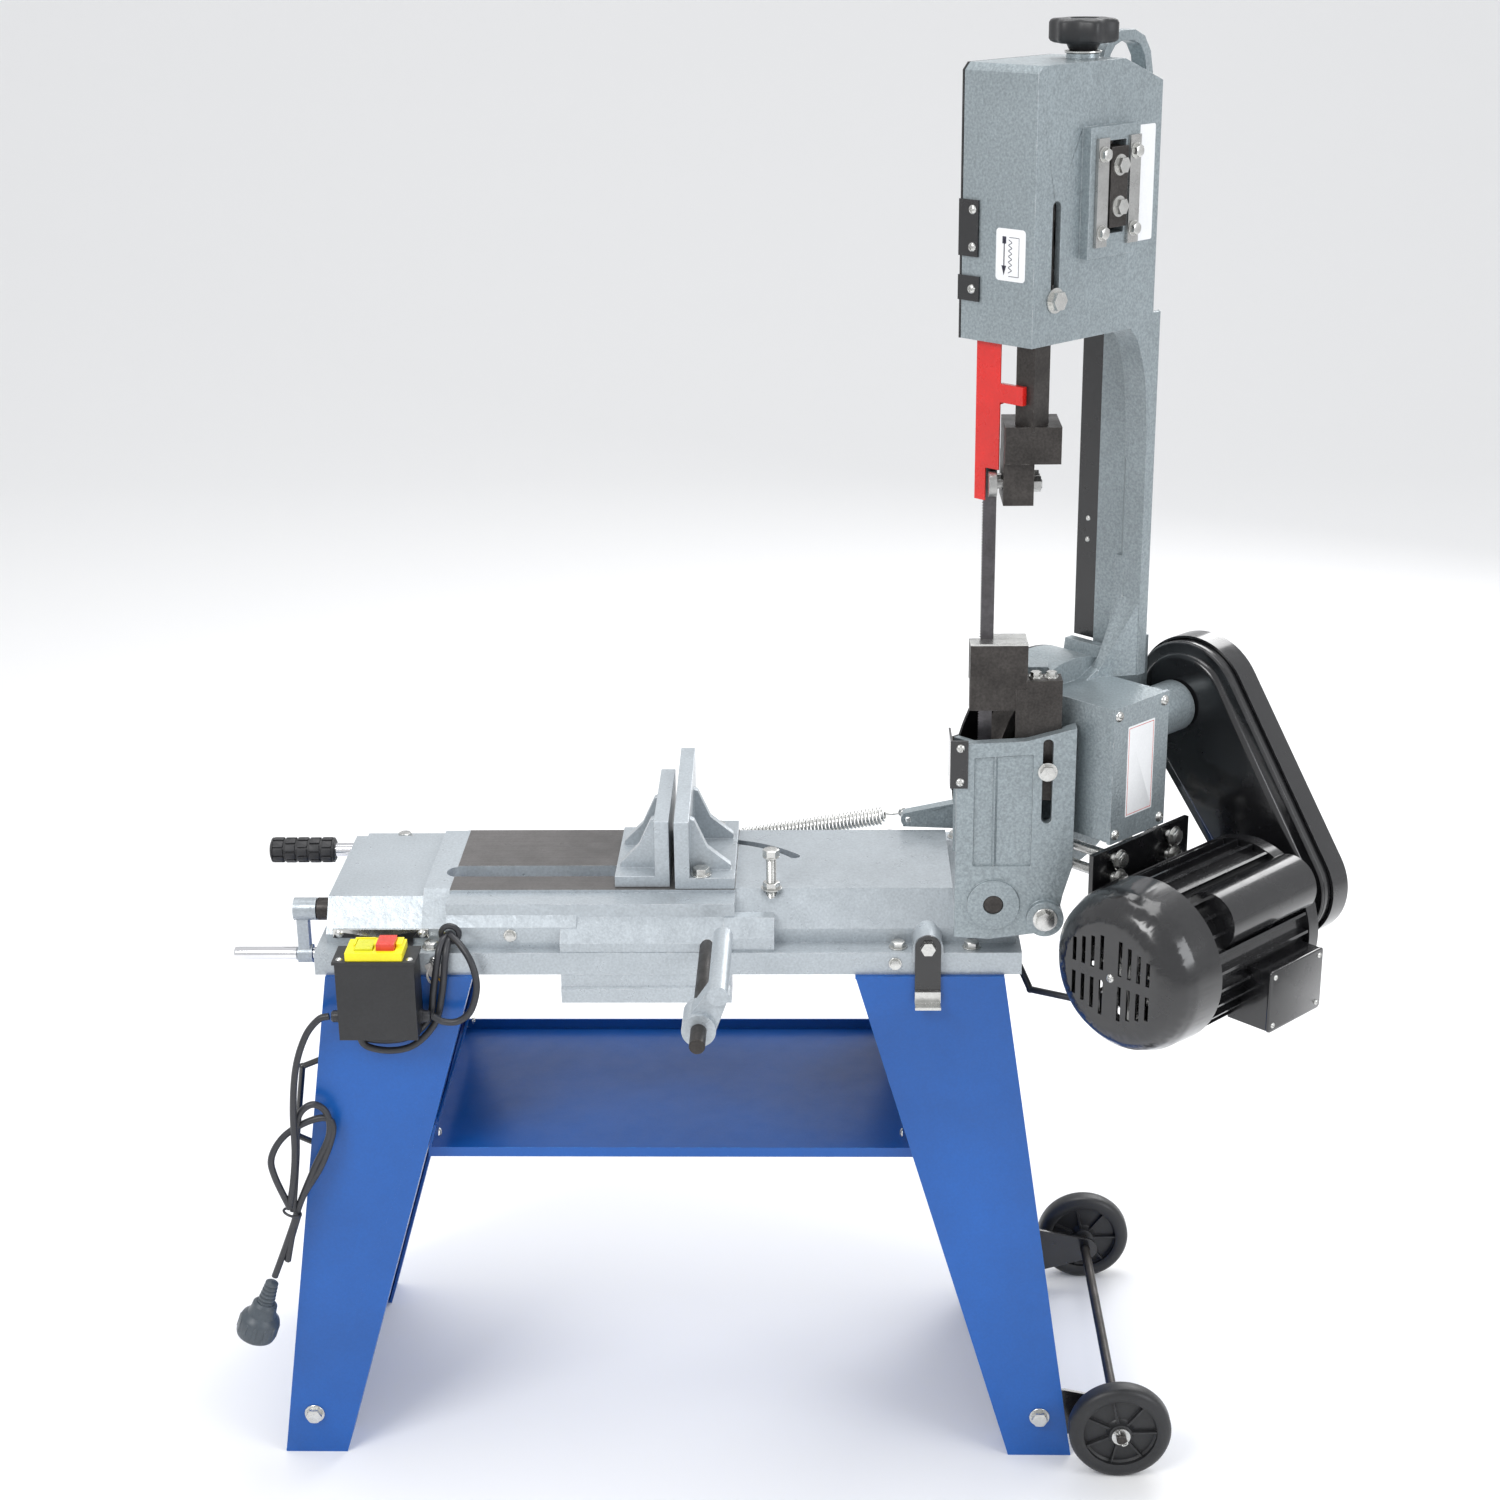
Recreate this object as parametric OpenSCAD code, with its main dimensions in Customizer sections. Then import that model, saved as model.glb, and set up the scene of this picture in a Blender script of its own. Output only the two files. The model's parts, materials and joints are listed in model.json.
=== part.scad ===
// Horizontal metal-cutting band saw on a sheet-metal stand, drawn with the saw arm raised.
// Origin: on the floor at the middle of the stand. +X runs along the bed towards the arm pivot,
// +Y away from the operator, +Z up. Millimetres.
// The band wheels stand at 45 degrees to the bed: "t" runs across them (+X +Y), "n" is their
// axle direction (+X -Y), both through the wheel centre.

/* [Stand] */
// Height of the stand under the bed
stand_h = 525; // [505:5:545]
// Half of the stand's length at the floor
foot_out = 393; // [385:1:400]
// Half of the stand's width
stand_y = 155; // [152:1:158]
// Thickness of the leg and tray sheet
sheet = 2.5; // [2:0.5:3]
// Height of the chip tray
tray_z = 330; // [300:5:360]
// Diameter of the transport wheels
cart_wheel_d = 100; // [90:2:100]

/* [Bed] */
// Height of the table above the bed's underside
table_rise = 66; // [64:1:68]
// Width of the long slot for the movable jaw
slot_w = 26; // [24:1:28]
// Travel of the movable jaw
jaw_travel = 144; // [100:4:144]

/* [Arm] */
// Radius of the two band wheels
wheel_r = 90; // [88:0.5:90]
// Height of the upper band wheel's axle
idler_z = 1238; // [1230:1:1240]
// Height of the lower band wheel's axle
drive_z = 710; // [708:1:711]
// Width of the saw blade
blade_w = 12.7; // [10:0.1:13]
// Thickness of the saw blade
blade_t = 0.65; // [0.5:0.05:0.8]
// Thickness of the casting's walls
wall = 6; // [5:0.5:6]
// Travel of the upper blade guide
guide_travel = 64; // [40:2:64]

/* [Drive] */
// Radius of the motor body over its fins
motor_r = 74; // [68:1:74]
// Distance of the motor shaft from the wheel plane
motor_n = 175; // [172:1:178]
// Height of the motor shaft
motor_z = 584; // [580:1:588]
// Distance of the worm shaft from the wheel plane
worm_n = 58; // [57:0.5:59]

/* [Hidden] */

$fn = 64;
run = 0.05;                              // radial clearance of a running fit

// Stand
foot_in = foot_out - 62;
top_out = foot_out - 77;
top_in = foot_out - 215;
lip = 40;                                // width of the folded lips of a leg
tray_x = foot_in - (foot_in - top_in) * (tray_z + 2) / stand_h - 0.2;
tray_lip = 26;
cart_x = foot_out + 44;
cart_z = cart_wheel_d / 2;
cart_y = stand_y + 26;
axle_r = 5;
foot_bolt_z = 45;
bolt_y = stand_y - 18;                   // bolts between the legs and the bed

// Bed
table_z = stand_h + table_rise;
flange_z = stand_h + 22;
bed_x0 = -318;
bed_x1 = 328;
front_y = -127;
back_y = 48;
stop_y = -101;                           // travel stop bolt
cham = table_z - 98 - 591;               // Y of the 45 degree front at table height
slot_y = -58;
screw_z = 552;
screw_r = 8;
jaw_pivot = [34, -93];
jaw_bolt = [44, 20];
jaw_bolt_r = norm(jaw_bolt - jaw_pivot);
jaw_bolt_angle = atan2(jaw_bolt[1] - jaw_pivot[1], jaw_bolt[0] - jaw_pivot[0]);

// Pivot of the arm
pivot_x = 303;
pivot_z = 603;
pin_r = 9;
lug_r = 18;

// Arm: wheel centre and the blade's cutting run
wheel_x = 357.6;
wheel_y = -75.4;
half_root = sqrt(0.5);
blade_x = wheel_x - wheel_r * half_root;
blade_y = wheel_y - wheel_r * half_root;
head_n = 54;                             // outer face of the head and the spine
rim_n = -25;                             // open side of the casting
left_t = -103;                           // left wall of the casting
housing_n = 25;                          // outer face of the lower housing
housing_r = 103;
head_z0 = 1113;
spine_t = 58;                            // inner face of the spine
head_z1 = 1340;
box_t = 38;                              // half width of the gearbox
box_n = 102;
box_z0 = 666;
box_z1 = 792;
guide_slot_top = 1162 + guide_travel;
wheel_half = 11;
shaft_r = 10;
stud_t = [-20, 60];                      // studs of the motor plate
stud_z = [626, 645];
plate_n = 92;                            // motor plate; it slides out along its studs
worm_z = drive_z + 40;
worm_shaft_r = 8;
case_t = 122;                            // inner face of the pulley case
case_depth = 33;
step = 8.6;                              // width of one pulley step
slide_t = -10;                           // middle of the upper wheel's slide
screw_n = 23;                            // tension screw
gib_t = [slide_t - 21, slide_t + 21];
gib_z = [1202, 1266];

// Turns a flat outline in X and Z into a solid between two Y values
module front(y0, y1) {
    translate([0, y1, 0]) rotate([90, 0, 0]) linear_extrude(y1 - y0) children();
}

// Turns a flat outline in Y and Z into a solid between two X values
module side(x0, x1) {
    translate([x0, 0, 0]) rotate([90, 0, 90]) linear_extrude(x1 - x0) children();
}

// Frame of the band wheels: local x is t, local y is -n
module tilt() {
    translate([wheel_x, wheel_y, 0]) rotate([0, 0, 45]) children();
}

// Turns a flat outline in t and Z into a solid between two n values
module across(n0, n1) {
    tilt() translate([0, -n0, 0]) rotate([90, 0, 0]) linear_extrude(n1 - n0) children();
}

// Turns a flat outline in n and Z into a solid between two t values
module along(t0, t1) {
    tilt() translate([t0, 0, 0]) rotate([90, 0, 90]) mirror([1, 0]) linear_extrude(t1 - t0) children();
}

// Round bar along n through (t, z)
module n_bar(t, z, n0, n1, r, sides = 64) {
    tilt() translate([t, -n0, z]) rotate([90, 0, 0]) cylinder(r = r, h = n1 - n0, $fn = sides);
}

// Round bar along t through (n, z)
module t_bar(n, z, t0, t1, r, sides = 64) {
    tilt() translate([t0, -n, z]) rotate([0, 90, 0]) cylinder(r = r, h = t1 - t0, $fn = sides);
}

// Round bar along Y
module y_bar(x, z, y0, y1, r, sides = 64) {
    translate([x, y0, z]) rotate([-90, 0, 0]) cylinder(r = r, h = y1 - y0, $fn = sides);
}

// Round bar along X
module x_bar(y, z, x0, x1, r, sides = 64) {
    translate([x0, y, z]) rotate([0, 90, 0]) cylinder(r = r, h = x1 - x0, $fn = sides);
}

// Block given by its lowest and highest corners
module block(a, b) {
    translate(a) cube(b - a);
}

// Block in the wheel frame: t, n and z from low to high
module n_block(t0, t1, n0, n1, z0, z1) {
    tilt() translate([t0, -n1, z0]) cube([t1 - t0, n1 - n0, z1 - z0]);
}

// Hexagon head with a washer; it stands on z = 0 and points up
module hex_head(r, h) {
    cylinder(r = r * 1.25, h = 1.2, $fn = 32);
    translate([0, 0, 1]) cylinder(r = r, h = h, $fn = 6);
}

// Round screw head; it stands on z = 0 and points up
module pan_head(r) {
    intersection() {
        translate([0, 0, -r * 0.6]) sphere(r = r * 1.166, $fn = 32);
        cylinder(r = r * 2, h = r * 2, $fn = 32);
    }
}

// Cable or wire through a list of points; the balls at its bends are a little wider than the wire
module tube(points, r, ball = 1.08) {
    for (i = [0 : len(points) - 2]) {
        v = points[i + 1] - points[i];
        translate(points[i]) rotate([0, acos(v[2] / norm(v)), atan2(v[1], v[0])])
            cylinder(r = r, h = norm(v), $fn = 16);
    }
    for (p = points) translate(p) sphere(r = r * ball, $fn = 16);
}

// ---- Stand ----

function leg_in(z) = foot_in - (foot_in - top_in) * z / stand_h;
function leg_out(z) = foot_out - (foot_out - top_out) * z / stand_h;

module leg_shape() {
    difference() {
        union() {
            for (s = [-1, 1]) {
                front(s * (stand_y - sheet / 2) - sheet / 2, s * (stand_y - sheet / 2) + sheet / 2)
                    polygon([[foot_out, 0], [foot_in, 0], [top_in, stand_h], [top_out, stand_h]]);
                front(s > 0 ? stand_y - lip : -stand_y, s > 0 ? stand_y : lip - stand_y)
                    polygon([[foot_in, 0], [foot_in + 3, 0], [top_in + 3, stand_h], [top_in, stand_h]]);
                block([foot_in, s > 0 ? stand_y - lip : -stand_y, 0],
                    [foot_out, s > 0 ? stand_y : lip - stand_y, sheet]);
                block([top_in, s > 0 ? stand_y - lip : -stand_y, stand_h - sheet],
                    [top_out, s > 0 ? stand_y : lip - stand_y, stand_h]);
            }
            front(-stand_y, stand_y)
                polygon([[foot_out, 0], [foot_out - 3, 0], [top_out - 3, stand_h], [top_out, stand_h]]);
        }
        for (s = [-1, 1]) {
            y_bar(foot_out - 32, foot_bolt_z, s * stand_y - 5, s * stand_y + 5, 5);
            block([foot_out - 20, s * (stand_y - sheet - 2) - 2.1, 15],
                [foot_out + 5, s * (stand_y - sheet - 2) + 2.1, 80]);
            for (x = [top_in + 40, top_out - 30])
                translate([x, s * bolt_y, stand_h - 5]) cylinder(r = 4.5, h = 10);
        }
    }
}

module right_leg() {
    color("royalblue") leg_shape();
}

module left_leg() {
    color("royalblue") mirror([1, 0, 0]) leg_shape();
}

module chip_tray() {
    color("royalblue") difference() {
        union() {
            block([-tray_x, -130, tray_z], [tray_x, 130, tray_z + 2]);
            block([3 - tray_x, 128, tray_z], [tray_x - 3, 130, tray_z + 12]);
            block([-tray_x, -130, tray_z - 8], [tray_x, -128, tray_z + 2]);
            for (m = [0, 1]) mirror([m, 0, 0]) front(-130, 130)
                polygon([[tray_x, tray_z], [tray_x, tray_z + 2],
                    [leg_in(tray_z + tray_lip) - 0.3, tray_z + tray_lip],
                    [leg_in(tray_z + tray_lip) - 2.3, tray_z + tray_lip], [tray_x - 2, tray_z]]);
        }
        for (s = [-1, 1], y = [-122, 122])
            x_bar(y, tray_z + 14, s * tray_x - 20, s * tray_x + 20, 2.6);
    }
}

module stand_bolts() {
    color("silver") {
        for (sx = [-1, 1], sy = [-1, 1]) {
            bx = sx * (foot_out - 32);
            y_bar(bx, foot_bolt_z, sy > 0 ? stand_y - 12 : -stand_y - 1,
                sy > 0 ? stand_y + 1 : -stand_y + 12, 4.8);
            translate([bx, sy * stand_y, foot_bolt_z]) rotate([-90 * sy, 0, 0]) hex_head(8, 6);
            for (x = [top_in + 40, top_out - 30]) {
                translate([sx * x, sy * bolt_y, stand_h - sheet - 12]) cylinder(r = 4, h = 34);
                translate([sx * x, sy * bolt_y, flange_z]) hex_head(7, 5);
                translate([sx * x, sy * bolt_y, stand_h - sheet]) mirror([0, 0, 1]) hex_head(7, 5);
            }
        }
        for (s = [-1, 1], y = [-122, 122])
            translate([s * (leg_in(tray_z + 14) - 4), y, tray_z + 14]) rotate([0, -90 * s, 0]) pan_head(4.5);
        translate([-143, -139, 560]) rotate([90, 0, 0]) hex_head(5, 4);
        translate([215, -150, 536]) rotate([90, 0, 0]) hex_head(5, 4);
    }
}

module wheel_brackets() {
    color("dimgray") for (s = [-1, 1]) difference() {
        front(s * (stand_y - sheet - 2) - 2, s * (stand_y - sheet - 2) + 2) union() {
            polygon([[foot_out - 48, 22], [foot_out - 48, 74], [foot_out - 8, 74], [cart_x, cart_z + 13],
                [cart_x, cart_z - 13], [foot_out - 8, 22]]);
            translate([cart_x, cart_z]) circle(r = 13);
        }
        y_bar(foot_out - 32, foot_bolt_z, -200, 200, 5);
        y_bar(cart_x, cart_z, -200, 200, axle_r + run);
    }
}

module wheel_axle() {
    color("dimgray") difference() {
        y_bar(cart_x, cart_z, -cart_y - 20, cart_y + 20, axle_r);
        for (s = [-1, 1]) translate([cart_x, s * (cart_y + 16), cart_z - 8]) cylinder(r = 1.6, h = 16);
    }
    color("silver") for (s = [-1, 1])
        translate([cart_x, s * (cart_y + 16), cart_z - 9]) cylinder(r = 1.6, h = 18, $fn = 16);
}

// Transport wheel centred on its axle; the face with ribs points along -Y
module cart_wheel() {
    r = cart_wheel_d / 2;
    color("darkslategray") rotate([90, 0, 0]) difference() {
        union() {
            rotate_extrude() polygon([[r - 10, -11], [r - 3, -11], [r, -8], [r, 8], [r - 3, 11], [r - 10, 11],
                [r - 14, 3], [14, 3], [12, 12], [7, 12], [7, -12], [12, -12], [14, -3], [r - 14, -3]]);
            for (i = [0 : 6], s = [-1, 1]) rotate([0, 0, i * 360 / 7])
                translate([11, -2, s > 0 ? 2 : -9]) cube([r - 22, 4, 7]);
        }
        translate([0, 0, -20]) cylinder(r = axle_r + run, h = 40);
    }
}

module near_wheel() {
    translate([cart_x, -cart_y, cart_z]) cart_wheel();
}

module far_wheel() {
    translate([cart_x, cart_y, cart_z]) cart_wheel();
}

module cable_hook() {
    color("dimgray") tube([for (p = [[0, -85, 310], [-22, -85, 320], [-22, -85, 396], [0, -85, 406]])
        [-leg_out(p[2]) - 3.8 + p[0], p[1], p[2]]], 3, 1.2);
}

// ---- Bed ----

// Y-Z section with the 45 degree front corner that leaves room for the lowered arm
module bed_section(top, y_front) {
    polygon([[front_y, stand_h + 2], [front_y, top - (cham - front_y)], [cham - table_z + top, top],
        [back_y, top], [back_y, stand_h + 2]]);
}

module hinge_lug(y0, y1) {
    front(y0, y1) union() {
        translate([pivot_x, pivot_z]) circle(r = lug_r);
        polygon([[pivot_x - lug_r, 560], [pivot_x - lug_r, pivot_z], [pivot_x + lug_r, pivot_z],
            [pivot_x + lug_r, 560]]);
    }
}

module bed() {
    color("lightgray") difference() {
        union() {
            block([-326, -150, stand_h], [332, 150, flange_z]);
            side(bed_x0, -228) bed_section(table_z - 6, front_y);
            side(-228, -203) bed_section(table_z - 0.6, front_y);
            side(-203, 66) polygon([[-131, stand_h + 2], [-131, table_z - 3], [-104, table_z - 3],
                [-104, table_z], [back_y, table_z], [back_y, stand_h + 2]]);
            side(66, 270) bed_section(table_z - 0.6, front_y);
            side(270, bed_x1) polygon([[front_y, stand_h + 2], [front_y, table_z - 24],
                [front_y + 12, table_z - 12], [back_y, table_z - 12], [back_y, stand_h + 2]]);
            side(-203, -81) polygon([[-139, flange_z], [-139, 568], [-131, 577], [-120, 577], [-120, flange_z]]);
            side(-96, 63) polygon([[-120, 497], [-152, 497], [-152, 511], [-149, 513], [-149, 556],
                [-131, 575], [-120, 575]]);
            side(56, 103) polygon([[-120, flange_z - 1], [-146, flange_z - 1], [-146, 560], [-133, 575],
                [-120, 575]]);
            // Lug behind the latch strap
            front(-154.9, -120) union() {
                translate([245, 553]) circle(r = 14);
                translate([231, 540]) square([28, 13]);
            }
            hinge_lug(front_y, front_y + 15);
            hinge_lug(24, 46);
        }
        // Hollow underside of the casting
        block([-310, -138, stand_h - 1], [-104, 138, stand_h + 12]);
        block([71, -138, stand_h - 1], [324, 138, stand_h + 12]);
        block([-300, -112, stand_h], [-104, 36, table_z - 20]);
        block([74, -92, stand_h], [262, 36, table_z - 20]);
        block([-96, -140, 490], [52, 36, 560]);
        block([-84, -112, 480], [52, 36, table_z - 20]);
        // Slot for the movable jaw's nut and the channel it runs in
        block([-55 - jaw_travel, slot_y - slot_w / 2, table_z - 30], [-9, slot_y + slot_w / 2, table_z + 1]);
        translate([-55 - jaw_travel, slot_y, table_z - 30]) cylinder(r = slot_w / 2, h = 31);
        block([-230, slot_y - 24, stand_h + 11], [20, slot_y + 24, table_z - 12]);
        x_bar(slot_y, screw_z, bed_x0 - 12, -229, screw_r + run);
        x_bar(41, 573, bed_x0 - 1, -310, 7);
        // Bore of the stock stop's rod
        y_bar(41, screw_z, -160, -100, 7 + run);
        // Hinge bores
        y_bar(pivot_x, pivot_z, -140, 60, pin_r);
        // Room for the arm's spring ear
        block([226, 49, stand_h - 1], [333, 84, flange_z + 1]);
        // Holes of the spring anchor and the latch strap
        translate([spring_a[0], spring_a[1], stand_h]) cylinder(r = 4.1, h = 40);
        y_bar(245, 555.5, -160, -110, 4.6);
        // Bolt holes of the feet
        for (sx = [-1, 1], sy = [-1, 1], x = [top_in + 40, top_out - 30])
            translate([sx * x, sy * bolt_y, stand_h - 5]) cylinder(r = 4.5, h = 40);
        // Pivot hole and curved slot of the fixed jaw
        translate([jaw_pivot[0], jaw_pivot[1], table_z - 30]) {
            cylinder(r = 5, h = 40);
            rotate([0, 0, jaw_bolt_angle - 45]) rotate_extrude(angle = 45)
                translate([jaw_bolt_r - 5.3, 0]) square([10.6, 40]);
            for (a = [jaw_bolt_angle - 45, jaw_bolt_angle]) rotate([0, 0, a])
                translate([jaw_bolt_r, 0, 0]) cylinder(r = 5.4, h = 40);
        }
        translate([100, stop_y, table_z - 30]) cylinder(r = 5, h = 40);
    }
}

module hinge_pin() {
    color("dimgray") y_bar(pivot_x, pivot_z, -168, 68, pin_r);
}

module travel_stop_bolt() {
    color("silver") translate([100, stop_y, 0]) {
        translate([0, 0, table_z - 18]) cylinder(r = 5, h = 52);
        translate([0, 0, table_z - 0.6]) hex_head(8, 6);
        translate([0, 0, table_z + 32]) cylinder(r = 8, h = 8, $fn = 6);
    }
}

module latch_strap() {
    color("dimgray") difference() {
        union() {
            block([233, -158.2, 508], [257, -155.2, 555.5]);
            translate([245, -155.2, 555.5]) rotate([90, 0, 0]) cylinder(r = 12, h = 3);
        }
        y_bar(245, 555.5, -165, -140, 4.5);
    }
    color("silver") {
        block([233, -161.2, 498], [257, -158.2, 512]);
        block([233, -171, 498], [257, -158.2, 501]);
        translate([245, -158.2, 555.5]) rotate([90, 0, 0]) cylinder(r = 7, h = 5, $fn = 6);
        y_bar(245, 555.5, -159, -128, 4.5);
    }
}

module lift_handle() {
    color("silver") x_bar(41, 573, -400, -310, 7);
}

module lift_grip() {
    color("dimgray") difference() {
        x_bar(41, 573, -404, -338, 12.5);
        x_bar(41, 573, -400, -330, 7);
    }
}

// Coil spring between the bed's far ledge and the ear of the arm
spring_a = [26, 90, 560];
spring_b = [233, 72, 600];
spring_turns = 26;
spring_steps = 12;
coil_r = 8.2;
wire_r = 1.4;

module counter_spring() {
    v = spring_b - spring_a;
    color("gainsboro") translate(spring_a) rotate([0, acos(v[2] / norm(v)), atan2(v[1], v[0])]) {
        difference() {
            translate([0, 0, 22]) cylinder(r = coil_r + wire_r, h = norm(v) - 44);
            translate([0, 0, 20]) cylinder(r = coil_r - wire_r, h = norm(v) - 40);
        }
        for (z = [0, norm(v) - 24]) {
            translate([0, -1.5, z]) cube([3, 3, 24]);
            translate([-coil_r, -1.5, z == 0 ? 21 : z]) cube([2 * coil_r, 3, 3]);
        }
    }
    color("silver") translate([spring_a[0], spring_a[1], 0]) {
        translate([0, 0, flange_z - 4]) cylinder(r = 4, h = spring_a[2] - flange_z + 6);
        translate([0, 0, flange_z]) hex_head(7, 4);
    }
}

// ---- Switch and cables ----

module switch_box() {
    color("dimgray") difference() {
        union() {
            block([-311, -130, 553.6], [-221, -127.1, 562]);
            block([-270, -130, 547.1], [-236, -127.1, 555]);
            block([-270, -158, 547.1], [-236, -127.1, 549.4]);
            block([-299, -190.2, 477], [-226, -155.2, 554]);
            block([-301, -192.2, 554], [-224, -155.2, 557]);
            x_bar(-172.2, 493, -307, -218, 5);
        }
        block([-287, -187.2, 509], [-238, -158.2, 558]);
    }
    color("silver") {
        for (x = [-305, -227]) translate([x, -130, 557.8]) rotate([90, 0, 0]) pan_head(4);
        for (x = [-295, -230]) translate([x, -185.2, 557]) pan_head(3.2);
    }
}

module switch_body() {
    color("gold") difference() {
        union() {
            block([-287, -187.2, 511], [-238, -158.2, 558]);
            block([-289, -190.2, 557.1], [-236, -157.2, 565]);
            block([-283, -175.2, 565], [-238, -159.2, 568]);
        }
        block([-281, -183.2, 549], [-264, -161.2, 569]);
        block([-261, -183.2, 549], [-244, -161.2, 569]);
    }
}

module start_button() {
    color("green") block([-280.9, -183.1, 553], [-264.1, -161.3, 567]);
}

module stop_button() {
    color("red") block([-260.9, -183.1, 553], [-244.1, -161.3, 571]);
}

module mains_cable() {
    color("dimgray") {
        tube([[-311, -172.2, 493], [-328, -175, 486], [-345, -177, 446], [-353, -177, 402],
            [-353, -177, 352], [-362, -178, 296], [-372, -178, 330], [-376, -176, 345],
            [-353, -170, 372], [-322, -168, 384], [-318, -168, 372], [-340, -171, 320],
            [-362, -173, 268], [-384, -173, 214]], 3.4);
        tube([[-214, -172.2, 493], [-198, -174, 487], [-178, -174, 498], [-172, -172, 522],
            [-184, -162, 552], [-196, -144, 563]], 3.2);
    }
}

module mains_plug() {
    color("gray") translate([-387.4, -173, 206.5]) rotate([0, 200, 0]) {
        cylinder(r = 6, h = 26, $fn = 24);
        translate([0, 0, 24]) cylinder(r = 11, h = 14, $fn = 24);
        translate([0, 0, 36]) rotate([0, 0, 45]) cylinder(r = 20, h = 30, $fn = 8);
    }
}

module motor_cable() {
    color("dimgray") tube([[452, -160, 500], [430, -150, 494], [395, -130, 488], [345, -100, 486],
        [328, -80, 520]], 3.2, 1.15);
}

// ---- Vise ----

module vise_screw() {
    color("silver") {
        x_bar(slot_y, screw_z, -356, -8, screw_r);
        x_bar(slot_y, screw_z, -339, -327, 11);
    }
}

module vise_crank() {
    color("lightgray") difference() {
        union() {
            x_bar(slot_y, screw_z, -362, -340, 11);
            block([-360, slot_y - 6, 508], [-349, slot_y + 6, 552]);
            x_bar(slot_y, 505, -361, -347, 9);
        }
        x_bar(slot_y, screw_z, -357, -330, screw_r);
        x_bar(slot_y, 505, -370, -340, 4.05);
    }
}

module crank_handle() {
    color("silver") {
        x_bar(slot_y, 505, -424, -361.2, 6.5);
        x_bar(slot_y, 505, -362, -344, 4);
        x_bar(slot_y, 505, -346.8, -344, 6);
    }
}

// One jaw plate with its foot and two gussets; its clamping face is x = 0 and it stands on z = 0
module jaw_shape(y0, y1, near_h, far_h, foot) {
    thick = 14;
    side(0, thick) polygon([[y0, 0], [y0, near_h], [y1, far_h], [y1, 0]]);
    block([0, y0, 0], [foot, y1, 11]);
    for (y = [y0 + 20.5, y1 - 49]) front(y, y + 9)
        polygon([[thick - 1, 0], [foot - 4, 0], [foot - 4, 16], [thick + 16, 34], [thick + 4, near_h - 6],
            [thick - 1, near_h - 4]]);
}

module fixed_jaw() {
    color("lightgray") translate([9.5, 0, table_z + run]) difference() {
        jaw_shape(-103, 45, 67, 88, 56);
        for (p = [jaw_pivot, jaw_bolt]) translate([p[0] - 9.5, p[1], -1]) cylinder(r = 5, h = 20);
    }
}

module fixed_jaw_bolts() {
    color("silver") for (p = [jaw_pivot, jaw_bolt]) translate([p[0], p[1], 0]) {
        translate([0, 0, table_z - 24]) cylinder(r = 4.95, h = 36);
        translate([0, 0, table_z + 11.1]) hex_head(p[1] < 0 ? 8 : 9, 6);
    }
}

module movable_jaw() {
    color("lightgray") translate([4.5, -80, table_z + 0.1]) difference() {
        mirror([1, 0, 0]) jaw_shape(-18, 108, 66, 72, 52);
        translate([-30, slot_y + 80, -1]) cylinder(r = 6, h = 20);
    }
}

module vise_nut() {
    color("silver") difference() {
        union() {
            block([-40, slot_y - slot_w / 2 + 0.2, screw_z - 14], [-12, slot_y + slot_w / 2 - 0.2, table_z - 0.2]);
            translate([-25.5, slot_y, table_z - 1]) cylinder(r = 5.9, h = 14);
            translate([-25.5, slot_y, table_z + 11.2]) hex_head(8, 7);
        }
        x_bar(slot_y, screw_z, -60, 0, screw_r + run);
    }
}

module stop_rod() {
    color("dimgray") y_bar(41, screw_z, -352, -104, 7);
}

module stop_arm() {
    color("lightgray") difference() {
        union() {
            y_bar(41, screw_z, -322, -286, 15);
            front(-316, -296) polygon([[28, 556], [54, 545], [68, 583], [50, 588]]);
            y_bar(58, 585, -322, -196, 9);
        }
        y_bar(41, screw_z, -340, -270, 7 + run);
    }
}

// ---- Arm casting ----

// Outline of the head in t and z
module head_outline(d) {
    polygon([[left_t + d, head_z0 - (d > 0 ? 1 : 0)], [left_t + d, head_z1 - 6 - d / 2],
        [left_t + 6 + d / 2, head_z1 - d], [8, head_z1 - d], [104, head_z0 + 189 - d * 1.1],
        [139 - d, head_z0 + 189 - d * 1.1], [139 - d, head_z0 - (d > 0 ? 1 : 0)]]);
}

// Everything left of the plane that closes the arm's pivot side, from z0 to z1
module right_plane(d, z0, z1) {
    translate([0, 0, z0]) linear_extrude(z1 - z0)
        polygon([[200, -400], [438 - d, -400], [438 - d, 200], [200, 200]]);
}

module spine_section() {
    polygon([[spine_t, -head_n], [spine_t + 12, -head_n], [139, 69 - head_n], [139, -rim_n],
        [130, -rim_n], [130, 70 - head_n], [spine_t + 12, 10 - head_n], [spine_t + 12, 3],
        [spine_t + 6, 3], [spine_t + 6, -26], [spine_t, -32]]);
}

module head_shell() {
    difference() {
        intersection() {
            across(rim_n, head_n) head_outline(0);
            right_plane(0, 1000, 1400);
        }
        intersection() {
            across(rim_n - 1, head_n - wall) head_outline(wall);
            right_plane(wall, 1000, 1400);
        }
    }
}

module lower_shell() {
    difference() {
        across(rim_n, housing_n) union() {
            translate([0, drive_z]) circle(r = housing_r, $fn = 96);
            polygon([[left_t, 640], [left_t, 752], [-60, 752], [-60, 660]]);
            polygon([[20, 640], [112, 640], [112, 812], [50, 812]]);
        }
        across(rim_n - 1, housing_n - wall - 1) union() {
            translate([0, drive_z]) circle(r = housing_r - wall, $fn = 96);
            polygon([[left_t + wall, 690], [left_t + wall, 760], [-60, 760], [-60, 690]]);
            polygon([[60, 700], [106, 700], [106, 840], [60, 840]]);
        }
        // The blade's run leaves the housing through its open upper left side
        n_block(-130, -30, rim_n - 1, housing_n + 1, 752, 830);
    }
}

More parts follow.
